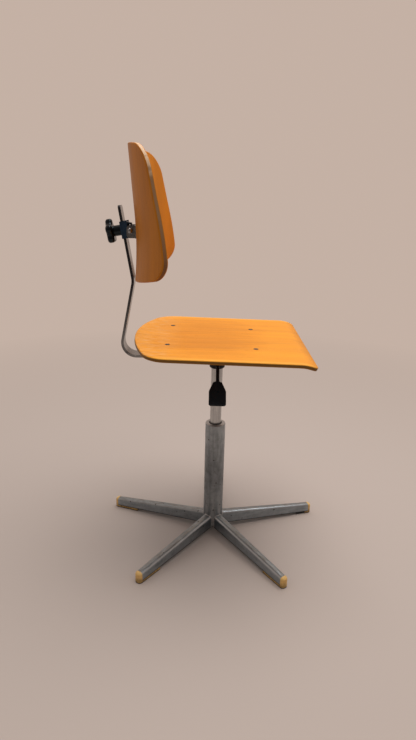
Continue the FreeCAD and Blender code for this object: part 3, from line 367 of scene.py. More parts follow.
# %% Shell builder
def moulded_shell(name, half, place, thickness, radius, columns=40):
    """Shell from half an outline of (a, b) points, b from zero at one end to the other end."""
    side = [Vector(point) for point in half]
    closed_end = side[-1].y < on_line
    loop = whole_outline(side, columns)
    normals = loop_normals(loop)
    shell = bmesh.new()
    rim_layer = shell.verts.layers.float.new("rim")
    ply_layer = shell.verts.layers.float.new("layer")

    def vertex(flat, depth, round_rim):
        point = shell.verts.new(place(flat.x, flat.y, depth))
        point[rim_layer] = round_rim
        point[ply_layer] = depth / thickness
        return point

    rings = []
    for inset, depth, round_rim in rim_profile(thickness, radius):
        rings.append([vertex(p - n * inset, depth, round_rim) for p, n in zip(loop, normals)])
    count = len(loop)
    for upper, lower in zip(rings, rings[1:]):
        for i in range(count):
            j = (i + 1) % count
            shell.faces.new((upper[i], upper[j], lower[j], lower[i]))
    rows = len(side)
    for ring, depth in ((rings[0], 0.0), (rings[-1], thickness)):
        lines = []
        for i in range(rows):
            if side[i].y < on_line:
                lines.append([ring[i]] * (columns + 1))
                continue
            if not closed_end and i == rows - 1:
                lines.append([ring[rows - 1 + k] for k in range(columns + 1)])
                continue
            flat = loop[i] - normals[i] * radius
            middle = [vertex(Vector((flat.x, flat.y - 2 * flat.y * k / columns)), depth, 0.0)
                      for k in range(1, columns)]
            lines.append([ring[i]] + middle + [ring[(count - i) % count]])
        for line, following in zip(lines, lines[1:]):
            for k in range(columns):
                corners = []
                for corner in (line[k], line[k + 1], following[k + 1], following[k]):
                    if corner not in corners:
                        corners.append(corner)
                if len(corners) > 2:
                    shell.faces.new(corners)
    bmesh.ops.recalc_face_normals(shell, faces=shell.faces)
    mesh = bpy.data.meshes.new(name)
    shell.to_mesh(mesh)
    shell.free()
    for polygon in mesh.polygons:
        polygon.use_smooth = True
    piece = bpy.data.objects.new(name, mesh)
    bpy.context.scene.collection.objects.link(piece)
    print(name, len(mesh.polygons), "faces")
    return piece


# %% [markdown]
# The seat is one moulded sheet: flat in the middle, turned up a little at the rear and rolled down at the
# front. A flat plan that is bent afterwards is easier to read than points in space, so one function bends
# any point of the plan: two arcs with a level stretch between them. The whole seat is tilted so that the
# front is slightly lower, and it sits turned a little against the back bar.

# %% Seat curve
seat_height = 526.1
seat_tilt = math.radians(0.93)
flat_back = 124.5
rise_radius = 569.0
flat_front = 168.3
fall_radius = 86.3
seat_turn = Matrix.Rotation(seat_skew, 4, "Z") @ Matrix.Translation((0, 0, seat_height * MM))
seat_turn = seat_turn @ Matrix.Rotation(seat_tilt, 4, "Y")


def seat_place(x, y, depth):
    """Point of the seat from its flat plan, at a depth under its top face."""
    if x < -flat_back:
        angle = math.asin((-flat_back - x) / rise_radius)
        reach = rise_radius + depth
        flat = Vector((-flat_back - reach * math.sin(angle), y, rise_radius - reach * math.cos(angle)))
    elif x > flat_front:
        angle = math.asin((x - flat_front) / fall_radius)
        reach = fall_radius - depth
        flat = Vector((flat_front + reach * math.sin(angle), y, reach * math.cos(angle) - fall_radius))
    else:
        flat = Vector((x, y, -depth))
    return seat_turn @ (flat * MM)


print("middle of the seat", seat_place(0.0, 0.0, 0.0))

# %% [markdown]
# The seat's plan is a bowed rear edge, large rear corners, straight sides and small front corners. Arcs and
# straight lines are enough for it, and only one half is written, because the shell builder mirrors it.

# %% Seat outline
seat_half = 201.3
seat_back = 194.3
seat_front = 206.2
seat_ply = 9.0
rear_bow = 433.5
rear_corner = 56.7
front_corner = 14.3
ply_round = 2.2
side_rows = 36


def seat_outline():
    """Half of the seat's plan, from the middle of the rear edge to the front edge."""
    bow_centre = rear_bow - seat_back
    corner_y = seat_half - rear_corner
    corner_x = bow_centre - math.sqrt((rear_bow - rear_corner) ** 2 - corner_y ** 2)
    meet = math.degrees(math.atan2(corner_y, bow_centre - corner_x))
    points = arc_points((bow_centre, 0), rear_bow, 180, 180 - meet, 24)
    points += arc_points((corner_x, corner_y), rear_corner, 180 - meet, 90, 24)[1:]
    start = points[-1][0]
    end = seat_front - front_corner
    points += [(start + (end - start) * i / side_rows, seat_half) for i in range(1, side_rows)]
    points += arc_points((end, seat_half - front_corner), front_corner, 90, 0, 14)
    points[0] = (points[0][0], 0.0)
    return points


seat = moulded_shell("seat_wood", seat_outline(), seat_place, seat_ply, ply_round)
seat.data.materials.append(seat_beech)
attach(seat, "upper")
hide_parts("seat_shell")

# %% [markdown]
# The back. In plan it is part of a circle round the sitter, and seen from the side it bulges forward at the
# small of the back and leans away above it. A sheet that is curved both ways can't be bent from a flat one,
# so each point is set on a circle whose radius grows as the face moves back.

# %% Backrest curve
lumbar_back = 188.7
lumbar_height = 739.3
lumbar_radius = 838.0
back_lean = math.radians(4.8)
wrap_radius = 325.0


def back_offset(z):
    """How far the rear face is behind its foremost line, at a height in the middle."""
    rise = z - lumbar_height
    tangent = lumbar_radius * math.sin(back_lean)
    if rise < tangent:
        return lumbar_radius - math.sqrt(lumbar_radius ** 2 - rise ** 2)
    return lumbar_radius * (1 - math.cos(back_lean)) + (rise - tangent) * math.tan(back_lean)


def back_place(z, y, depth):
    """Point of the back from its outline seen from the front, at a depth from its rear face."""
    reach = wrap_radius + back_offset(z) - depth
    axis = wrap_radius - lumbar_back
    return Vector((axis - math.sqrt(reach ** 2 - y ** 2), y, z)) * MM


print("foremost point of the back's rear face", back_place(lumbar_height, 0.0, 0.0))

# %% [markdown]
# Seen from the front the back narrows upwards, with bowed ends and rounded corners. Each corner has to
# touch a bowed end and the sloping side, so its centre is worked out from both, and the outline stays
# smooth when a size is changed.

# %% Backrest outline
back_ply = 9.0
back_half = 197.0
side_slope = math.tan(math.radians(9.15))
back_top = 945.1
top_bow = 1186.0
top_corner = 59.6
back_bottom = 659.3
bottom_bow = 712.0
bottom_corner = 40.0
back_rows = 24


def back_corner(bow_centre, bow, corner, above):
    """Centre of a corner that touches a bowed edge and the sloping side."""
    reach = back_half + side_slope * lumbar_height - corner * math.sqrt(1 + side_slope ** 2)
    a = 1 + side_slope ** 2
    b = -2 * (side_slope * reach + bow_centre)
    c = reach ** 2 + bow_centre ** 2 - (bow - corner) ** 2
    root = math.sqrt(b * b - 4 * a * c)
    z = (root - b) / (2 * a) if above else (-root - b) / (2 * a)
    return z, reach - side_slope * z


def back_outline():
    """Half of the outline as (z, y), from the middle of the bottom edge to the middle of the top."""
    low_centre = back_bottom + bottom_bow
    high_centre = back_top - top_bow
    low = back_corner(low_centre, bottom_bow, bottom_corner, False)
    high = back_corner(high_centre, top_bow, top_corner, True)
    side_angle = math.degrees(math.atan2(1, side_slope))
    low_meet = math.degrees(math.atan2(low[1], low[0] - low_centre))
    high_meet = math.degrees(math.atan2(high[1], high[0] - high_centre))
    points = arc_points((low_centre, 0), bottom_bow, 180, low_meet, 24)
    points += arc_points(low, bottom_corner, low_meet, side_angle, 18)[1:]
    upper = arc_points(high, top_corner, side_angle, high_meet, 18)
    start = points[-1]
    end = upper[0]
    points += [(start[0] + (end[0] - start[0]) * i / back_rows,
                start[1] + (end[1] - start[1]) * i / back_rows) for i in range(1, back_rows)]
    points += upper
    points += arc_points((high_centre, 0), top_bow, high_meet, 0, 24)[1:]
    points[0] = (points[0][0], 0.0)
    points[-1] = (points[-1][0], 0.0)
    return points


back = moulded_shell("back_wood", back_outline(), back_place, back_ply, ply_round)
back.data.materials.append(back_beech)
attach(back, "backrest")
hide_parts("back_shell")

# %% [markdown]
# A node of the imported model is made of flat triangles. A skin is a copy of it with the triangles joined,
# so that round walls shade smoothly and only true edges stay sharp. A small bevel breaks those edges, as
# a file or a tumbling drum does, and catches the light. A skin can keep marks on its points for the finish
# to read, such as how far along the piece a point is, so that streaks follow the piece. It can also be
# given a shape, which moves its points a little.

# %% Skin builder
def skin(node, finish, edge=0.0, sharp=38, shape=None, **marks):
    """Smooth copy of a CAD node that takes its place, with its edges broken by a bevel in millimetres."""
    mesh = bpy.data.meshes.new(node + "_skin")
    work = bmesh.new()
    work.from_mesh(cad_nodes[node].data)
    bmesh.ops.remove_doubles(work, verts=work.verts, dist=1e-6)
    if shape:
        for point in work.verts:
            point.co = shape(point.co)
    if edge:
        bmesh.ops.dissolve_limit(work, angle_limit=math.radians(0.5), verts=work.verts, edges=work.edges)
        corners = [e for e in work.edges if len(e.link_faces) == 2
                   and e.calc_face_angle(0) > math.radians(sharp)]
        bmesh.ops.bevel(work, geom=corners, offset=edge * MM, offset_type="OFFSET", segments=2, profile=0.5,
                        affect="EDGES", clamp_overlap=True)
    for line in work.edges:
        line.smooth = line.calc_face_angle(0) < math.radians(sharp)
    for face in work.faces:
        face.smooth = True
        face.material_index = 0
    work.to_mesh(mesh)
    work.free()
    for name, measure in marks.items():
        kept = mesh.attributes.new(name, "FLOAT_VECTOR", "POINT")
        for point, value in zip(mesh.vertices, kept.data):
            value.vector = measure(point.co)
    piece = bpy.data.objects.new(node + "_skin", mesh)
    bpy.context.scene.collection.objects.link(piece)
    if edge:
        piece.modifiers.new("flat_faces", "WEIGHTED_NORMAL").keep_sharp = True
    mesh.materials.clear()
    mesh.materials.append(finish)
    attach(piece, body_of[node])
    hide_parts(node)
    return piece


def paint(node, finish):
    """Gives a CAD node its finish as it is."""
    mesh = cad_nodes[node].data
    mesh.materials.clear()
    mesh.materials.append(finish)


# %% [markdown]
# Steel. Drawn or rolled metal has fine lines along its length and a haze that dulls it in places. Noise
# that is stretched along one axis gives the lines. A piece that doesn't lie along an axis, such as a leg,
# reads its own run from its points.

# %% Steel
def steel(name, dark, light, rough, streaks, along_run=False):
    """Bare or plated metal, streaked along one axis; returns its parts and the colour so far."""
    material, tree, shader = new_finish(name)
    vector = stored(tree, "run", "Vector") if along_run else place_of(tree)
    run = noise(tree, vector, streaks, 4.0, 0.6)
    haze = noise(tree, place_of(tree), even(30), 3.0, 0.6)
    colour = ramp(tree, run, (0.32, dark), (0.68, light))
    colour = blend(tree, "MULTIPLY", 0.7, colour, ramp(tree, haze, (0.30, grey(0.80)), (0.65, grey(1.0))))
    shader.inputs["Metallic"].default_value = 1.0
    uneven_gloss = ramp(tree, haze, (0.3, grey(rough + 0.10)), (0.7, grey(rough)))
    tree.links.new(uneven_gloss, shader.inputs["Roughness"])
    tree.links.new(colour, shader.inputs["Base Color"])
    bump(tree, shader, run, 0.05, 0.0002)
    return material, tree, shader, colour


def plain_steel(*look):
    """Steel with nothing added to it."""
    return steel(*look)[0]


# %% [markdown]
# The foot and the stand tube are dull zinc, streaked along their length and mottled with age. Faces that look
# up are lightened: shoes have rubbed the rounded edges of the legs bright, and the rest is a painted
# highlight, as if lit from above. Brown dirt lies on top of the legs, a painted shade darkens the lower
# edges, where the hollow undersides stay unlit, and a few dark specks show. On the tube a painted shade also
# darkens part of its height. Each of these is a layer over the last one, picked out by the height, by the way
# a face looks or by noise, so each can be changed by itself.

# %% Old zinc
low_shade_span = 0.01


def dull_zinc(name, dark, light, top, *painted_shades):
    """Old zinc with rubbed edges, painted highlights and shades, dirt and specks.

    The top is how far faces that look up are lightened, a painted highlight as if lit from above. Painted
    shades are stops of (height above the lower edge, brightness).
    """
    material, tree, shader, colour = steel(name, dark, light, 0.32, (22, 120, 120), along_run=True)
    patina = noise(tree, place_of(tree), even(85), 5.0, 0.70)
    patina = ramp(tree, patina, (0.36, (0.79, 0.80, 0.78)), (0.52, grey(0.95)), (0.66, grey(1.0)))
    colour = times(tree, colour, patina)
    above = stored(tree, "above")
    # Painted shade by height: the tube is darker partway up, where the seat's shade falls.
    if painted_shades:
        colour = times(tree, colour, ramp(tree, above, *[(height, grey(level)) for height, level in painted_shades]))
    facing = add(tree, "ShaderNodeNewGeometry").outputs["Normal"]
    upward = add(tree, "ShaderNodeSeparateXYZ", Vector=facing).outputs["Z"]
    # Painted highlight, with some rubbing: faces that look up are lightened, as if lit from above.
    rubbed_and_highlight = ramp(tree, upward, (0.30, grey(0.0)), (0.60, grey(0.5)), (0.85, grey(top)))
    colour = blend(tree, "MIX", rubbed_and_highlight, colour, (0.62, 0.63, 0.64))
    grime = noise(tree, stored(tree, "run", "Vector"), (40, 240, 60), 4.0, 0.65)
    grime = ramp(tree, grime, (0.40, grey(0.0)), (0.68, grey(0.65 * (1 - top))))
    on_top = times(tree, grime, ramp(tree, upward, (0.80, grey(0.0)), (0.97, grey(1.0))))
    colour = blend(tree, "MIX", on_top, colour, (0.22, 0.185, 0.14))
    # Painted shade: a dark line along the lower edge, where the underside stays unlit.
    low = ramp_over(tree, above, low_shade_span, (0.0008, 0.85), (0.0030, 0.0))
    colour = blend(tree, "MIX", low, colour, (0.035, 0.030, 0.026))
    specks = noise(tree, place_of(tree), even(150), 1.0, 0.3)
    specks = ramp(tree, specks, (0.232, grey(1.0)), (0.260, grey(0.0)))
    colour = blend(tree, "MIX", specks, colour, (0.035, 0.024, 0.018))
    tree.links.new(colour, shader.inputs["Base Color"])
    return material


leg_zinc = dull_zinc("leg_zinc", (0.30, 0.340, 0.372), (0.395, 0.445, 0.485), 0.0)
# The tube's painted shade is darkest partway up its height, and a painted highlight lightens its top.
tube_zinc = dull_zinc("tube_zinc", (0.295, 0.322, 0.340), (0.43, 0.462, 0.484), 0.7,
                      (0.08, 1.0), (0.14, 0.63), (0.18, 0.60), (0.25, 0.94))
print("zinc finishes:", leg_zinc.name, tube_zinc.name)

# %% [markdown]
# The gas cylinder is polished chrome with drawn lines, and small fittings are bright zinc. The bar behind the
# seat is polished on its broad faces. Its narrow sides are darkened by a painted dark reflection, where a
# mark on its points says so.

# %% Bright steel
chrome = plain_steel("bright_chrome", (0.34, 0.34, 0.34), (0.66, 0.66, 0.65), 0.16, (330, 330, 5))
bright_zinc = plain_steel("bright_zinc", (0.42, 0.42, 0.42), (0.55, 0.55, 0.55), 0.26, even(90))
dark_steel = plain_steel("dark_steel", (0.12, 0.122, 0.127), (0.36, 0.352, 0.345), 0.18, even(110))
dome_chrome = plain_steel("dome_chrome", (0.28, 0.28, 0.29), (0.42, 0.42, 0.43), 0.05, even(60))
bar_steel, bar_tree, bar_shader, bar_colour = steel(
    "bar_steel", (0.26, 0.256, 0.252), (0.37, 0.366, 0.362), 0.20, (140, 140, 8))
# Painted reflection: the narrow sides are darkened, as if they mirrored something dark.
bar_painted_reflection = blend(bar_tree, "MIX", stored(bar_tree, "side"), bar_colour, (0.055, 0.055, 0.06))
bar_tree.links.new(bar_painted_reflection, bar_shader.inputs["Base Color"])
print("finishes with steel:", len(bpy.data.materials))

# %% [markdown]
# Blackened steel and black plastic. The clamp and the carrier have a blue-black satin finish. The knob is
# hard and glossy, and the paddle is matt with a fine moulded grain. Gloss on blue-black and on the knob is
# tinted cool, so that the warm floor doesn't turn it brown.

# %% Black finishes
def black(name, dark, light, rough, grain, depth, gloss=0.5, tint=grey(1.0)):
    """Dark finish with a fine grain and slightly uneven gloss."""
    material, tree, shader = new_finish(name)
    fine = noise(tree, place_of(tree), even(grain), 2.0, 0.5)
    broad = noise(tree, place_of(tree), even(30), 3.0, 0.6)
    tree.links.new(ramp(tree, broad, (0.3, dark), (0.7, light)), shader.inputs["Base Color"])
    uneven_gloss = ramp(tree, broad, (0.3, grey(rough)), (0.7, grey(rough + 0.12)))
    tree.links.new(uneven_gloss, shader.inputs["Roughness"])
    shader.inputs["Specular IOR Level"].default_value = gloss
    shader.inputs["Specular Tint"].default_value = (*tint, 1)
    bump(tree, shader, fine, 0.2, depth)
    return material


cool = (0.72, 0.90, 1.0)
blued = black("blued_steel", (0.009, 0.022, 0.048), (0.017, 0.040, 0.080), 0.30, 900, 0.0001, 0.4, cool)
knob_black = black("knob_black", (0.002, 0.002, 0.003), (0.004, 0.004, 0.006), 0.07, 500, 0.00003,
                   0.34, cool)
grip_black = black("grip_black", (0.012, 0.015, 0.018), (0.017, 0.020, 0.024), 0.60, 1400, 0.0002, 0.1)
lever_black = black("lever_black", (0.007, 0.0085, 0.011), (0.011, 0.013, 0.016), 0.42, 900, 0.0001, 0.2)
rubber = black("black_rubber", grey(0.010), grey(0.020), 0.75, 1200, 0.0002, 0.3)
nylon = black("black_nylon", grey(0.016), grey(0.030), 0.45, 900, 0.0001)
print("black finishes:", ", ".join(finish.name for finish in (blued, knob_black, grip_black, lever_black)))

# %% [markdown]
# The foot caps are tan plastic. Their domes are a lighter tan, and towards the floor they are darker and
# mottled, ending in a dark line at the floor.

# %% Tan caps
cap_span = 0.0278
tan, tan_tree, tan_shader = new_finish("tan_plastic")
tan_place = place_of(tan_tree)
dirt = noise(tan_tree, tan_place, even(170), 4.0, 0.6)
height = add(tan_tree, "ShaderNodeSeparateXYZ", Vector=tan_place).outputs["Z"]
# Towards the floor the tan turns darker and mottled, and at the floor it ends in a dark line.
low = ramp_over(tan_tree, height, cap_span, (0.00278, 1.0), (0.01722, 0.0))
clean = ramp(tan_tree, dirt, (0.3, (0.72, 0.42, 0.135)), (0.7, (0.84, 0.51, 0.180)))
low_tan = ramp(tan_tree, dirt, (0.40, (0.20, 0.115, 0.042)), (0.64, (0.58, 0.35, 0.118)))
tan_colour = blend(tan_tree, "MIX", low, clean, low_tan)
floor_line = ramp_over(tan_tree, height, cap_span, (0.00125, 1.0), (0.00278, 0.0))
tan_colour = blend(tan_tree, "MIX", floor_line, tan_colour, (0.035, 0.026, 0.018))
tan_tree.links.new(tan_colour, tan_shader.inputs["Base Color"])
tan_shader.inputs["Roughness"].default_value = 0.5
tan_shader.inputs["Specular IOR Level"].default_value = 0.3
bump(tan_tree, tan_shader, dirt, 0.15, 0.0003)
print("finishes:", len(bpy.data.materials))

# %% [markdown]
# The stand tube gets the first skin. Its run is measured along its height, so that streaks follow it, and its
# height above its lower edge is kept for the painted shades. The imported tube has a round rim. The real one
# is flatter, so the skin squares the rim a little and makes its mouth narrower.

# %% Stand tube
root_bottom = 0.013
tube_top = 0.3033
rim_round = 0.006
rim_middle = 0.019
rim_mouth = 0.0165
rim_square = 0.35
rim_slack = 0.05
mouth_rise = 0.7
mouth_gap = 0.0005


def flat_rim(point):
    """Squares the tube's round rim, so that a flat ring with an eased edge is left on top."""
    out = math.hypot(point.x, point.y)
    rise = (point.z - tube_top + rim_round) / rim_round
    if rise < mouth_rise and out < rim_middle:
        return point
    if out < rim_middle - mouth_gap:
        return Vector((point.x * rim_mouth / out, point.y * rim_mouth / out, point.z))
    side = (out - rim_middle) / rim_round
    if rise <= 0.0 or side <= 0.0 or abs(math.hypot(side, rise) - 1) > rim_slack:
        return point
    wide = (rim_middle + rim_round * side ** rim_square) / out
    return Vector((point.x * wide, point.y * wide, tube_top - rim_round * (1 - rise ** rim_square)))


stand_tube = skin("stand_tube", tube_zinc, shape=flat_rim, run=lambda point: (point.z, point.x, point.y),
                  above=lambda point: even(point.z - root_bottom))
print("stand tube", len(stand_tube.data.polygons), "faces")

# %% [markdown]
# Five legs of pressed steel, each with a tan cap on its end. A leg's run is measured along its own
# length, away from the column. Its lower edge slopes, so the height above it is worked out for each
# point. The place of the cap gives the leg's direction.

# %% Legs and caps
leg_count = 5
leg_tip = 0.2785
tip_bottom = 0.006


def leg_marks(axis):
    """Run along a leg that points along an axis from the column, and height above its sloping lower edge."""
    side = Vector((-axis.y, axis.x, 0))

    def above(point):
        lower = root_bottom + (tip_bottom - root_bottom) * point.dot(axis) / leg_tip
        return even(point.z - lower)

    return {"run": lambda point: (point.dot(axis), point.dot(side), point.z), "above": above}


for number in range(1, leg_count + 1):
    lowest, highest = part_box("foot_cap_%d" % number)
    middle = (Vector(lowest) + Vector(highest)) / 2
    skin("leg_%d" % number, leg_zinc, edge=0.5, **leg_marks(Vector((middle.x, middle.y, 0)).normalized()))
    skin("foot_cap_%d" % number, tan, edge=0.4)
print(leg_count, "legs with their caps")

# %% [markdown]
# The cylinder and its rod are chromed. The bar behind the seat is a flat strip whose narrow sides carry a
# painted dark reflection, so its skin marks how dark each point of the edge is: least at the lower end, with
# one painted dark spot on the heel where the bar turns up, and fully dark further up.

# %% Cylinder and back bar
for node in ("gas_cylinder", "piston_rod"):
    skin(node, chrome)
bar_half = 0.020
bar_lean = math.radians(9.6)
bar_up = Vector((-math.sin(bar_lean), 0, math.cos(bar_lean)))
bar_end = max(point.co.dot(bar_up) for point in cad_nodes["back_bar"].data.vertices)
bar_corner = 0.009
bar_edge = 0.0003
heel_middle = Vector((-0.1922, 0, 0.512))
heel_turn = 40
heel_spread = 20
heel_top = 0.497
dark_from = 0.590
edge_least = 0.10


def from_edge(point):
    """How far a point of the bar lies inside its broad face's outline, with its rounded top corners."""
    below = bar_end - point.dot(bar_up)
    inside = bar_half - abs(point.y)
    if below < bar_corner and inside < bar_corner:
        return bar_corner - math.hypot(bar_corner - below, bar_corner - inside)
    return min(below, inside)


def share(value, start, end):
    """Zero before a start, one after an end, and even between them."""
    return min(1.0, max(0.0, (value - start) / (end - start)))


def painted_reflection_dark(point):
    """How dark the painted reflection is at a point: zero on the broad faces, and up to one on the edge."""
    if from_edge(point) > bar_edge:
        return even(0.0)
    away = heel_middle - point
    turn = math.degrees(math.atan2(away.x, away.z))
    heel = max(0.0, 1 - abs(turn - heel_turn) / heel_spread)
    return even(edge_least + (1 - edge_least) * max(heel, share(point.z, heel_top, dark_from)))


back_bar = skin("back_bar", bar_steel, edge=0.7, side=painted_reflection_dark)
print("back bar", len(back_bar.data.polygons), "faces")

# %% [markdown]
# The fittings. The bracket of the back is dull and dark, and the nut of its tilt bolt is polished. Bolts,
# nuts and pins are bright zinc, the clamp and the seat's carrier are blued, and hub, lugs and lever rod are
# black.

# %% Fittings
skin("back_bracket", dark_steel, edge=0.4)
skin("dome_nut", dome_chrome, edge=0.3)
for node, edge in (("tilt_bolt", 0.3), ("bar_bolts", 0.3), ("bar_nuts", 0.3), ("seat_nuts", 0.3),
                   ("lever_pin", 0.0)):
    skin(node, bright_zinc, edge=edge)
for node, edge in (("bar_clamp", 0.5), ("carrier_channel", 0.4), ("rear_strap", 0.4), ("front_strap", 0.4)):
    skin(node, blued, edge=edge)
for node in ("carrier_hub", "lever_lugs", "lever_rod"):
    skin(node, lever_black)
knob = skin("star_knob", knob_black)
print("star knob", len(knob.data.polygons), "faces")

# %% [markdown]
# The lever's paddle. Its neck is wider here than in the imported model, outside the socket that holds the
# rod, so that the shoulders are fuller. The places are the paddle's own, along the lever and across it.

# %% Lever paddle
paddle_top = Vector((-0.00438, -0.12530, 0.45355))
paddle_along = Vector((-0.02943, -0.84288, -0.53730))
paddle_across = Vector((0.99939, -0.03490, 0.0))
socket_radius = 0.006
neck_half = 0.007
shoulder_half = 0.01875
shoulder_at = 0.0255
broad_neck = 0.0095


def broad_paddle(point):
    """Widens the paddle's neck outside the rod's socket, so that its shoulders are fuller."""
    down = max(0.0, (point - paddle_top).dot(paddle_along)) / shoulder_at
    aside = (point - paddle_top).dot(paddle_across)
    if down >= 1 or abs(aside) <= socket_radius:
        return point
    was = neck_half + (shoulder_half - neck_half) * down
    now = broad_neck + (shoulder_half - broad_neck) * down
    moved = (abs(aside) - socket_radius) * ((now - socket_radius) / (was - socket_radius) - 1)
    return point + paddle_across * math.copysign(moved, aside)


paddle = skin("lever_paddle", grip_black, shape=broad_paddle)
print("lever paddle", len(paddle.data.polygons), "faces")

# %% [markdown]
# The rubber pad under one foot gets a skin too. Pieces that are hidden, or show only a narrow ring, just
# need their finish. The bearing balls get a skin, because merging their points removes the flat triangles
# at their poles.

# %% Pad and hidden pieces
skin("foot_pad", rubber)
for node in ("bump_stop", "rod_seal"):
    paint(node, rubber)
for node in ("guide_bush", "bearing_cage", "rod_guide", "piston_ring"):
    paint(node, nylon)
skin("bearing_balls", bright_zinc)
for node in ("floor_disc", "lower_bearing_washer", "upper_bearing_washer", "rod_clip",
             "piston", "valve_body", "valve_pin", "clamp_screw"):
    paint(node, bright_zinc)

# %% [markdown]
# Fasteners repeat, so Geometry Nodes make them. The tree takes points and sets one fastener on each. One
# helper starts a tree with named inputs, and another ends it: the copies are made real, because the export
# would drop instances, and get their finish.

# %% Helpers for trees
def new_tree(name, *sizes):
    """Geometry tree with named sizes and a finish as inputs; returns it with both its ends."""
    tree = bpy.data.node_groups.new(name, "GeometryNodeTree")
    tree.interface.new_socket("Points", in_out="INPUT", socket_type="NodeSocketGeometry")
    for size in sizes:
        tree.interface.new_socket(size, in_out="INPUT", socket_type="NodeSocketFloat")
    tree.interface.new_socket("Finish", in_out="INPUT", socket_type="NodeSocketMaterial")
    tree.interface.new_socket("Mesh", in_out="OUTPUT", socket_type="NodeSocketGeometry")
    return tree, tree.nodes.new("NodeGroupInput").outputs, tree.nodes.new("NodeGroupOutput").inputs


def lifted(tree, shape, size, part):
    """A shape moved along Z by a part of one of the tree's sizes."""
    lift = add(tree, "ShaderNodeCombineXYZ", Z=sum_of(tree, "MULTIPLY", size, part))
    moved = add(tree, "GeometryNodeTransform", Geometry=shape, Translation=lift.outputs[0])
    return moved.outputs["Geometry"]


def joined(tree, *shapes):
    """Several shapes in one."""
    node = tree.nodes.new("GeometryNodeJoinGeometry")
    for shape in shapes:
        tree.links.new(shape, node.inputs[0])
    return node.outputs[0]


def smooth(tree, shape):
    """A shape that shades smoothly."""
    return add(tree, "GeometryNodeSetShadeSmooth", Geometry=shape).outputs["Geometry"]


def set_on(tree, tree_in, tree_out, points, shape, **turn):
    """Ends a tree with a shape on every point, made real and given the finish."""
    copies = add(tree, "GeometryNodeInstanceOnPoints", Points=points, Instance=shape, **turn)
    real = add(tree, "GeometryNodeRealizeInstances", Geometry=copies.outputs["Instances"])
    dressed = add(tree, "GeometryNodeSetMaterial", Geometry=real.outputs["Geometry"],
                  Material=tree_in["Finish"])
    tree.links.new(dressed.outputs["Geometry"], tree_out["Mesh"])


# %% [markdown]
# A modifier runs such a tree on a few seed points. The result is kept as a plain mesh and the seeds are
# removed, so that what stays is a piece like any other. The modifier knows its inputs by the sockets'
# identifiers, so each name is looked up first.

# %% Growing pieces from points
def grow(name, points, edges, tree, place, **inputs):
    """Piece grown by a tree on some points, kept as a plain mesh and set in its place."""
    seeds = bpy.data.meshes.new(name + "_seeds")
    seeds.from_pydata(points, edges, [])
    holder = bpy.data.objects.new(name + "_seeds", seeds)
    bpy.context.scene.collection.objects.link(holder)
    modifier = holder.modifiers.new("grow", "NODES")
    modifier.node_group = tree
    for item in tree.interface.items_tree:
        key = item.name.lower().replace(" ", "_")
        if item.in_out == "INPUT" and key in inputs:
            modifier[item.identifier] = inputs[key]
    grown = holder.evaluated_get(bpy.context.evaluated_depsgraph_get())
    mesh = bpy.data.meshes.new_from_object(grown)
    bpy.data.objects.remove(holder)
    mesh.name = name
    mesh.transform(place)
    piece = bpy.data.objects.new(name, mesh)
    bpy.context.scene.collection.objects.link(piece)
    print(name, len(mesh.polygons), "faces")
    return piece


# %% [markdown]
# Four screws hold the seat. Each has a flat head with a slot, just proud of the wood, and a shank that
# ends below the nut under the strap. The slots point wherever the screwdriver stopped.

# %% Screw tree
slot_length = 0.02
screw_tree, screw_in, screw_out = new_tree("slotted_screws", "Head radius", "Head height", "Slot width",
                                           "Slot depth", "Shank radius", "Shank length")
head = add(screw_tree, "GeometryNodeMeshCylinder", Vertices=32, Radius=screw_in["Head radius"],
           Depth=screw_in["Head height"])
slot_size = add(screw_tree, "ShaderNodeCombineXYZ", X=slot_length, Y=screw_in["Slot width"],
                Z=screw_in["Slot depth"])
slot_bar = add(screw_tree, "GeometryNodeMeshCube", Size=slot_size.outputs[0])
slot_bar = lifted(screw_tree, slot_bar.outputs["Mesh"], screw_in["Head height"], 0.5)
slotted = screw_tree.nodes.new("GeometryNodeMeshBoolean")
slotted.operation = "DIFFERENCE"
screw_tree.links.new(head.outputs["Mesh"], slotted.inputs[0])
screw_tree.links.new(slot_bar, slotted.inputs[1])
shank = add(screw_tree, "GeometryNodeMeshCylinder", Vertices=20, Radius=screw_in["Shank radius"],
            Depth=screw_in["Shank length"])
shank = lifted(screw_tree, shank.outputs["Mesh"], screw_in["Shank length"], -0.5)
any_turn = screw_tree.nodes.new("FunctionNodeRandomValue")
any_turn.data_type = "FLOAT_VECTOR"
any_turn.inputs["Min"].default_value = (0, 0, 0)
any_turn.inputs["Max"].default_value = (0, 0, math.pi)
any_turn.inputs["Seed"].default_value = 7
screw = joined(screw_tree, slotted.outputs["Mesh"], shank)
set_on(screw_tree, screw_in, screw_out, screw_in["Points"], screw, Rotation=any_turn.outputs["Value"])
print("screw tree has", len(screw_tree.nodes), "nodes")

# %% [markdown]
# The places of the screws are given on the flat plan of the seat, two behind and two ahead, and the
# seat's own turn and tilt carry them along. The front pair sits a little to one side, as on the real
# seat.

# %% Seat screws
screw_back = 0.1136
screw_ahead = 0.0830
screw_side = 0.0905
front_shift = -0.0090
screw_points = [(x, shift + side * screw_side, 0.0)
                for x, shift in ((-screw_back, 0.0), (screw_ahead, front_shift)) for side in (-1, 1)]
dull_screw = plain_steel("dull_screw", (0.10, 0.10, 0.095), (0.17, 0.17, 0.16), 0.40, even(200))
seat_screws = grow("seat_screw_set", screw_points, [], screw_tree, seat_turn, finish=dull_screw,
                   head_radius=0.0055, head_height=0.0008, slot_width=0.0012, slot_depth=0.0010,
                   shank_radius=0.0030, shank_length=0.0200)
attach(seat_screws, "upper")
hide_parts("seat_screws")

# %% [markdown]
# Four rivets hold the backrest to its bracket. In front each has a broad low dome, and behind the bracket
# a smaller closed end, so one shape with both ends is set on each point.

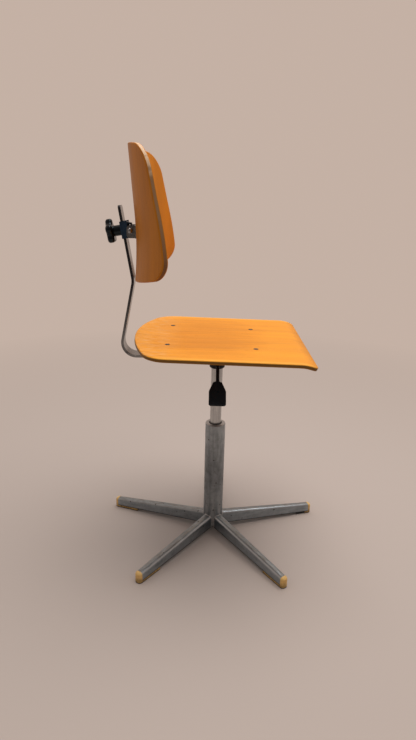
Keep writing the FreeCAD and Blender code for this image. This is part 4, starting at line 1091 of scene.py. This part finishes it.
# %% Rivet tree
rivet_tree, rivet_in, rivet_out = new_tree("domed_rivets", "Head radius", "Tail radius", "Body radius",
                                           "Grip")
rivet_shapes = []
for size, flat, part in (("Head radius", 0.24, 0.0), ("Tail radius", 0.44, -1.0)):
    ball = add(rivet_tree, "GeometryNodeMeshUVSphere", Segments=24, Rings=12, Radius=rivet_in[size])
    dome = add(rivet_tree, "GeometryNodeTransform", Geometry=ball.outputs["Mesh"], Scale=(1, 1, flat))
    rivet_shapes.append(lifted(rivet_tree, dome.outputs["Geometry"], rivet_in["Grip"], part))
body = add(rivet_tree, "GeometryNodeMeshCylinder", Vertices=16, Radius=rivet_in["Body radius"],
           Depth=rivet_in["Grip"])
rivet_shapes.append(lifted(rivet_tree, body.outputs["Mesh"], rivet_in["Grip"], -0.5))
rivet = smooth(rivet_tree, joined(rivet_tree, *rivet_shapes))
set_on(rivet_tree, rivet_in, rivet_out, rivet_in["Points"], rivet)
print("rivet tree has", len(rivet_tree.nodes), "nodes")

# %% [markdown]
# The rivets go through the back and the sheet of its bracket, so their grip is the sum of both. The tree
# makes them upright, and a quarter turn lays them along the way through the back.

# %% Backrest rivets
bracket_sheet = 0.0025
rivet_box = [Vector(corner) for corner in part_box("back_rivets")]
rivet_middle = (rivet_box[0] + rivet_box[1]) / 2
rivet_grip = back_ply * MM + bracket_sheet
front_face = back_place(rivet_middle.z / MM, 0.0, back_ply)
rivet_side = 0.0120
rivet_rise = 0.0085
rivet_points = [(rise * rivet_rise, side * rivet_side, 0.0) for side in (-1, 1) for rise in (-1, 1)]
rivet_place = Matrix.Translation((front_face.x, 0, rivet_middle.z)) @ Matrix.Rotation(math.pi / 2, 4, "Y")
back_rivets = grow("back_rivet_set", rivet_points, [], rivet_tree, rivet_place, finish=bright_zinc,
                   head_radius=0.0060, tail_radius=0.0045, body_radius=0.0025, grip=rivet_grip)
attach(back_rivets, "backrest")
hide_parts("back_rivets")

# %% [markdown]
# The legs are welded to the stand tube, and a weld leaves a rippled bead along the seam. The tree sweeps a
# small circle, with a size that wavers, along the line where a leg meets the round wall, and repeats the
# bead for every leg round the column.

# %% Bead tree
bead_tree, bead_in, bead_out = new_tree("weld_beads", "Bead radius", "Leg count", "First turn")
seam = add(bead_tree, "GeometryNodeMeshToCurve", Mesh=bead_in["Points"])
spot = bead_tree.nodes.new("GeometryNodeInputPosition").outputs[0]
waver = add(bead_tree, "ShaderNodeTexNoise", Vector=spot, Scale=420.0, Detail=1.0).outputs["Fac"]
circle = add(bead_tree, "GeometryNodeCurvePrimitiveCircle", Resolution=8, Radius=bead_in["Bead radius"])
bead = add(bead_tree, "GeometryNodeCurveToMesh", Curve=seam.outputs["Curve"],
           Profile_Curve=circle.outputs["Curve"], Scale=sum_of(bead_tree, "ADD", waver, 0.5), Fill_Caps=True)
places = add(bead_tree, "GeometryNodeMeshLine", Count=bead_in["Leg count"], Offset=(0, 0, 0))
which = bead_tree.nodes.new("GeometryNodeInputIndex").outputs[0]
step = sum_of(bead_tree, "DIVIDE", math.tau, bead_in["Leg count"])
turned = sum_of(bead_tree, "ADD", sum_of(bead_tree, "MULTIPLY", which, step), bead_in["First turn"])
turned = add(bead_tree, "ShaderNodeCombineXYZ", Z=turned).outputs[0]
bead = smooth(bead_tree, bead.outputs["Mesh"])
set_on(bead_tree, bead_in, bead_out, places.outputs["Mesh"], bead, Rotation=turned)
print("bead tree has", len(bead_tree.nodes), "nodes")

# %% [markdown]
# The seam goes up one side of a leg, over its top and down the other side. It is drawn flat, as seen along
# the leg, and each of its points is then set on the round wall of the tube.

# %% Weld beads
tube_radius = 25.0
seam_half = 11.8
seam_low = 14.0
seam_top = 45.8
seam_corner = 7.5
seam_steps = 20
seam_flat = []
for i in range(seam_steps):
    seam_flat.append((-seam_half, seam_low + (seam_top - seam_corner - seam_low) * i / seam_steps))
seam_flat += arc_points((seam_corner - seam_half, seam_top - seam_corner), seam_corner, 180, 90, 10)
seam_flat += [(-y, z) for y, z in reversed(seam_flat)]
seam_points = [(math.sqrt(tube_radius ** 2 - y * y) * MM, y * MM, z * MM) for y, z in seam_flat]
seam_edges = [(i, i + 1) for i in range(len(seam_points) - 1)]
first_turn = math.radians(15.3)
weld_zinc = plain_steel("weld_zinc", (0.45, 0.46, 0.47), (0.66, 0.67, 0.68), 0.30, even(300))
beads = grow("weld_bead_set", seam_points, seam_edges, bead_tree, Matrix.Identity(4), finish=weld_zinc,
             bead_radius=0.0013, leg_count=float(leg_count), first_turn=first_turn)
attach(beads, "base")

# %% [markdown]
# The floor is plain and pale. It fades into the same tone as what lies behind it, so no horizon shows. The
# fade is a glow that only the camera and mirrors see, so it doesn't light the chair.

# %% Floor
pale = (0.555, 0.440, 0.375, 1)
floor_radius = 2.4
floor_sides = 96


def straight_rays(tree):
    """One for rays that come straight from the camera, or by a mirror or glass, and zero for the rest."""
    path = tree.nodes.new("ShaderNodeLightPath").outputs
    seen = sum_of(tree, "MAXIMUM", path["Is Camera Ray"], path["Is Glossy Ray"])
    return sum_of(tree, "MAXIMUM", seen, path["Is Transmission Ray"])


floor_finish, floor_tree, floor_shader = new_finish("pale_floor")
floor_shader.inputs["Base Color"].default_value = (0.545, 0.440, 0.380, 1)
floor_shader.inputs["Roughness"].default_value = 0.9
floor_shader.inputs["Specular IOR Level"].default_value = 0.1
far = add(floor_tree, "ShaderNodeVectorMath", Vector=place_of(floor_tree))
far.operation = "LENGTH"
fade = ramp_over(floor_tree, far.outputs["Value"], floor_radius, (0.528, 0.0), (2.208, 1.0))
glow = add(floor_tree, "ShaderNodeEmission", Color=pale, Strength=1.0)
glowing = sum_of(floor_tree, "MULTIPLY", fade, straight_rays(floor_tree))
floor_mix = add(floor_tree, "ShaderNodeMixShader", Fac=glowing)
floor_tree.links.new(floor_shader.outputs[0], floor_mix.inputs[1])
floor_tree.links.new(glow.outputs[0], floor_mix.inputs[2])
floor_tree.links.new(floor_mix.outputs[0], floor_tree.nodes["Material Output"].inputs["Surface"])
floor_mesh = bpy.data.meshes.new("floor")
floor_rim = arc_points((0.0, 0.0), floor_radius, 0, 360, floor_sides + 1)[:-1]
floor_mesh.from_pydata([(x, y, 0.0) for x, y in floor_rim], [], [list(range(floor_sides))])
floor_mesh.materials.append(floor_finish)
floor = bpy.data.objects.new("floor", floor_mesh)
bpy.context.scene.collection.objects.link(floor)
print("floor with", len(floor_mesh.vertices), "sides")

# %% [markdown]
# One large soft lamp hangs overhead. A small lamp would throw hard shadows and show as a bright spot in
# every polished piece.

# %% Lamp
lamp_aim = Vector((0, 0, 0.5))


def soft_lamp(name, place, size, power):
    """Square lamp that faces the chair."""
    lamp = bpy.data.lights.new(name, "AREA")
    lamp.size = size
    lamp.energy = power
    holder = bpy.data.objects.new(name, lamp)
    holder.location = place
    holder.rotation_euler = (lamp_aim - Vector(place)).to_track_quat("-Z", "Y").to_euler()
    bpy.context.scene.collection.objects.link(holder)


soft_lamp("overhead", (0.35, 0.20, 2.6), 1.8, 40)
print("lamps:", len(bpy.data.lights))

# %% [markdown]
# The sky adds an even fill, dimmer on the camera's side, so that a colour comes out about as it is
# written and polished metal has something to mirror. Mirrors see the pale tone of the floor's edge,
# dimmed in the same way, and the camera sees it plain.

# %% Sky
world = bpy.data.worlds.new("studio")
bpy.context.scene.world = world
world.use_nodes = True
sky = world.node_tree
aim = add(sky, "ShaderNodeSeparateXYZ", Vector=add(sky, "ShaderNodeTexCoord").outputs["Generated"])
behind = sum_of(sky, "MULTIPLY_ADD", aim.outputs["Y"], 0.5)
dim = ramp(sky, behind, (0.10, grey(0.34)), (0.60, grey(1.0)))
sky_fill = sky.nodes["Background"]
fill(sky, sky_fill.inputs["Color"], times(sky, dim, (0.97, 0.98, 1.0)))
sky_fill.inputs["Strength"].default_value = 0.66
mirrored = add(sky, "ShaderNodeBackground", Color=times(sky, dim, pale[:3]), Strength=1.0)
seen = add(sky, "ShaderNodeBackground", Color=pale, Strength=1.0)
sky_path = sky.nodes.new("ShaderNodeLightPath").outputs
shiny = sum_of(sky, "MAXIMUM", sky_path["Is Glossy Ray"], sky_path["Is Transmission Ray"])
by_mirror = add(sky, "ShaderNodeMixShader", Fac=shiny)
sky.links.new(sky_fill.outputs[0], by_mirror.inputs[1])
sky.links.new(mirrored.outputs[0], by_mirror.inputs[2])
both = add(sky, "ShaderNodeMixShader", Fac=sky_path["Is Camera Ray"])
sky.links.new(by_mirror.outputs[0], both.inputs[1])
sky.links.new(seen.outputs[0], both.inputs[2])
sky.links.new(both.outputs[0], sky.nodes["World Output"].inputs["Surface"])
bpy.context.scene.view_settings.view_transform = "Standard"
print("sky has", len(sky.nodes), "nodes")
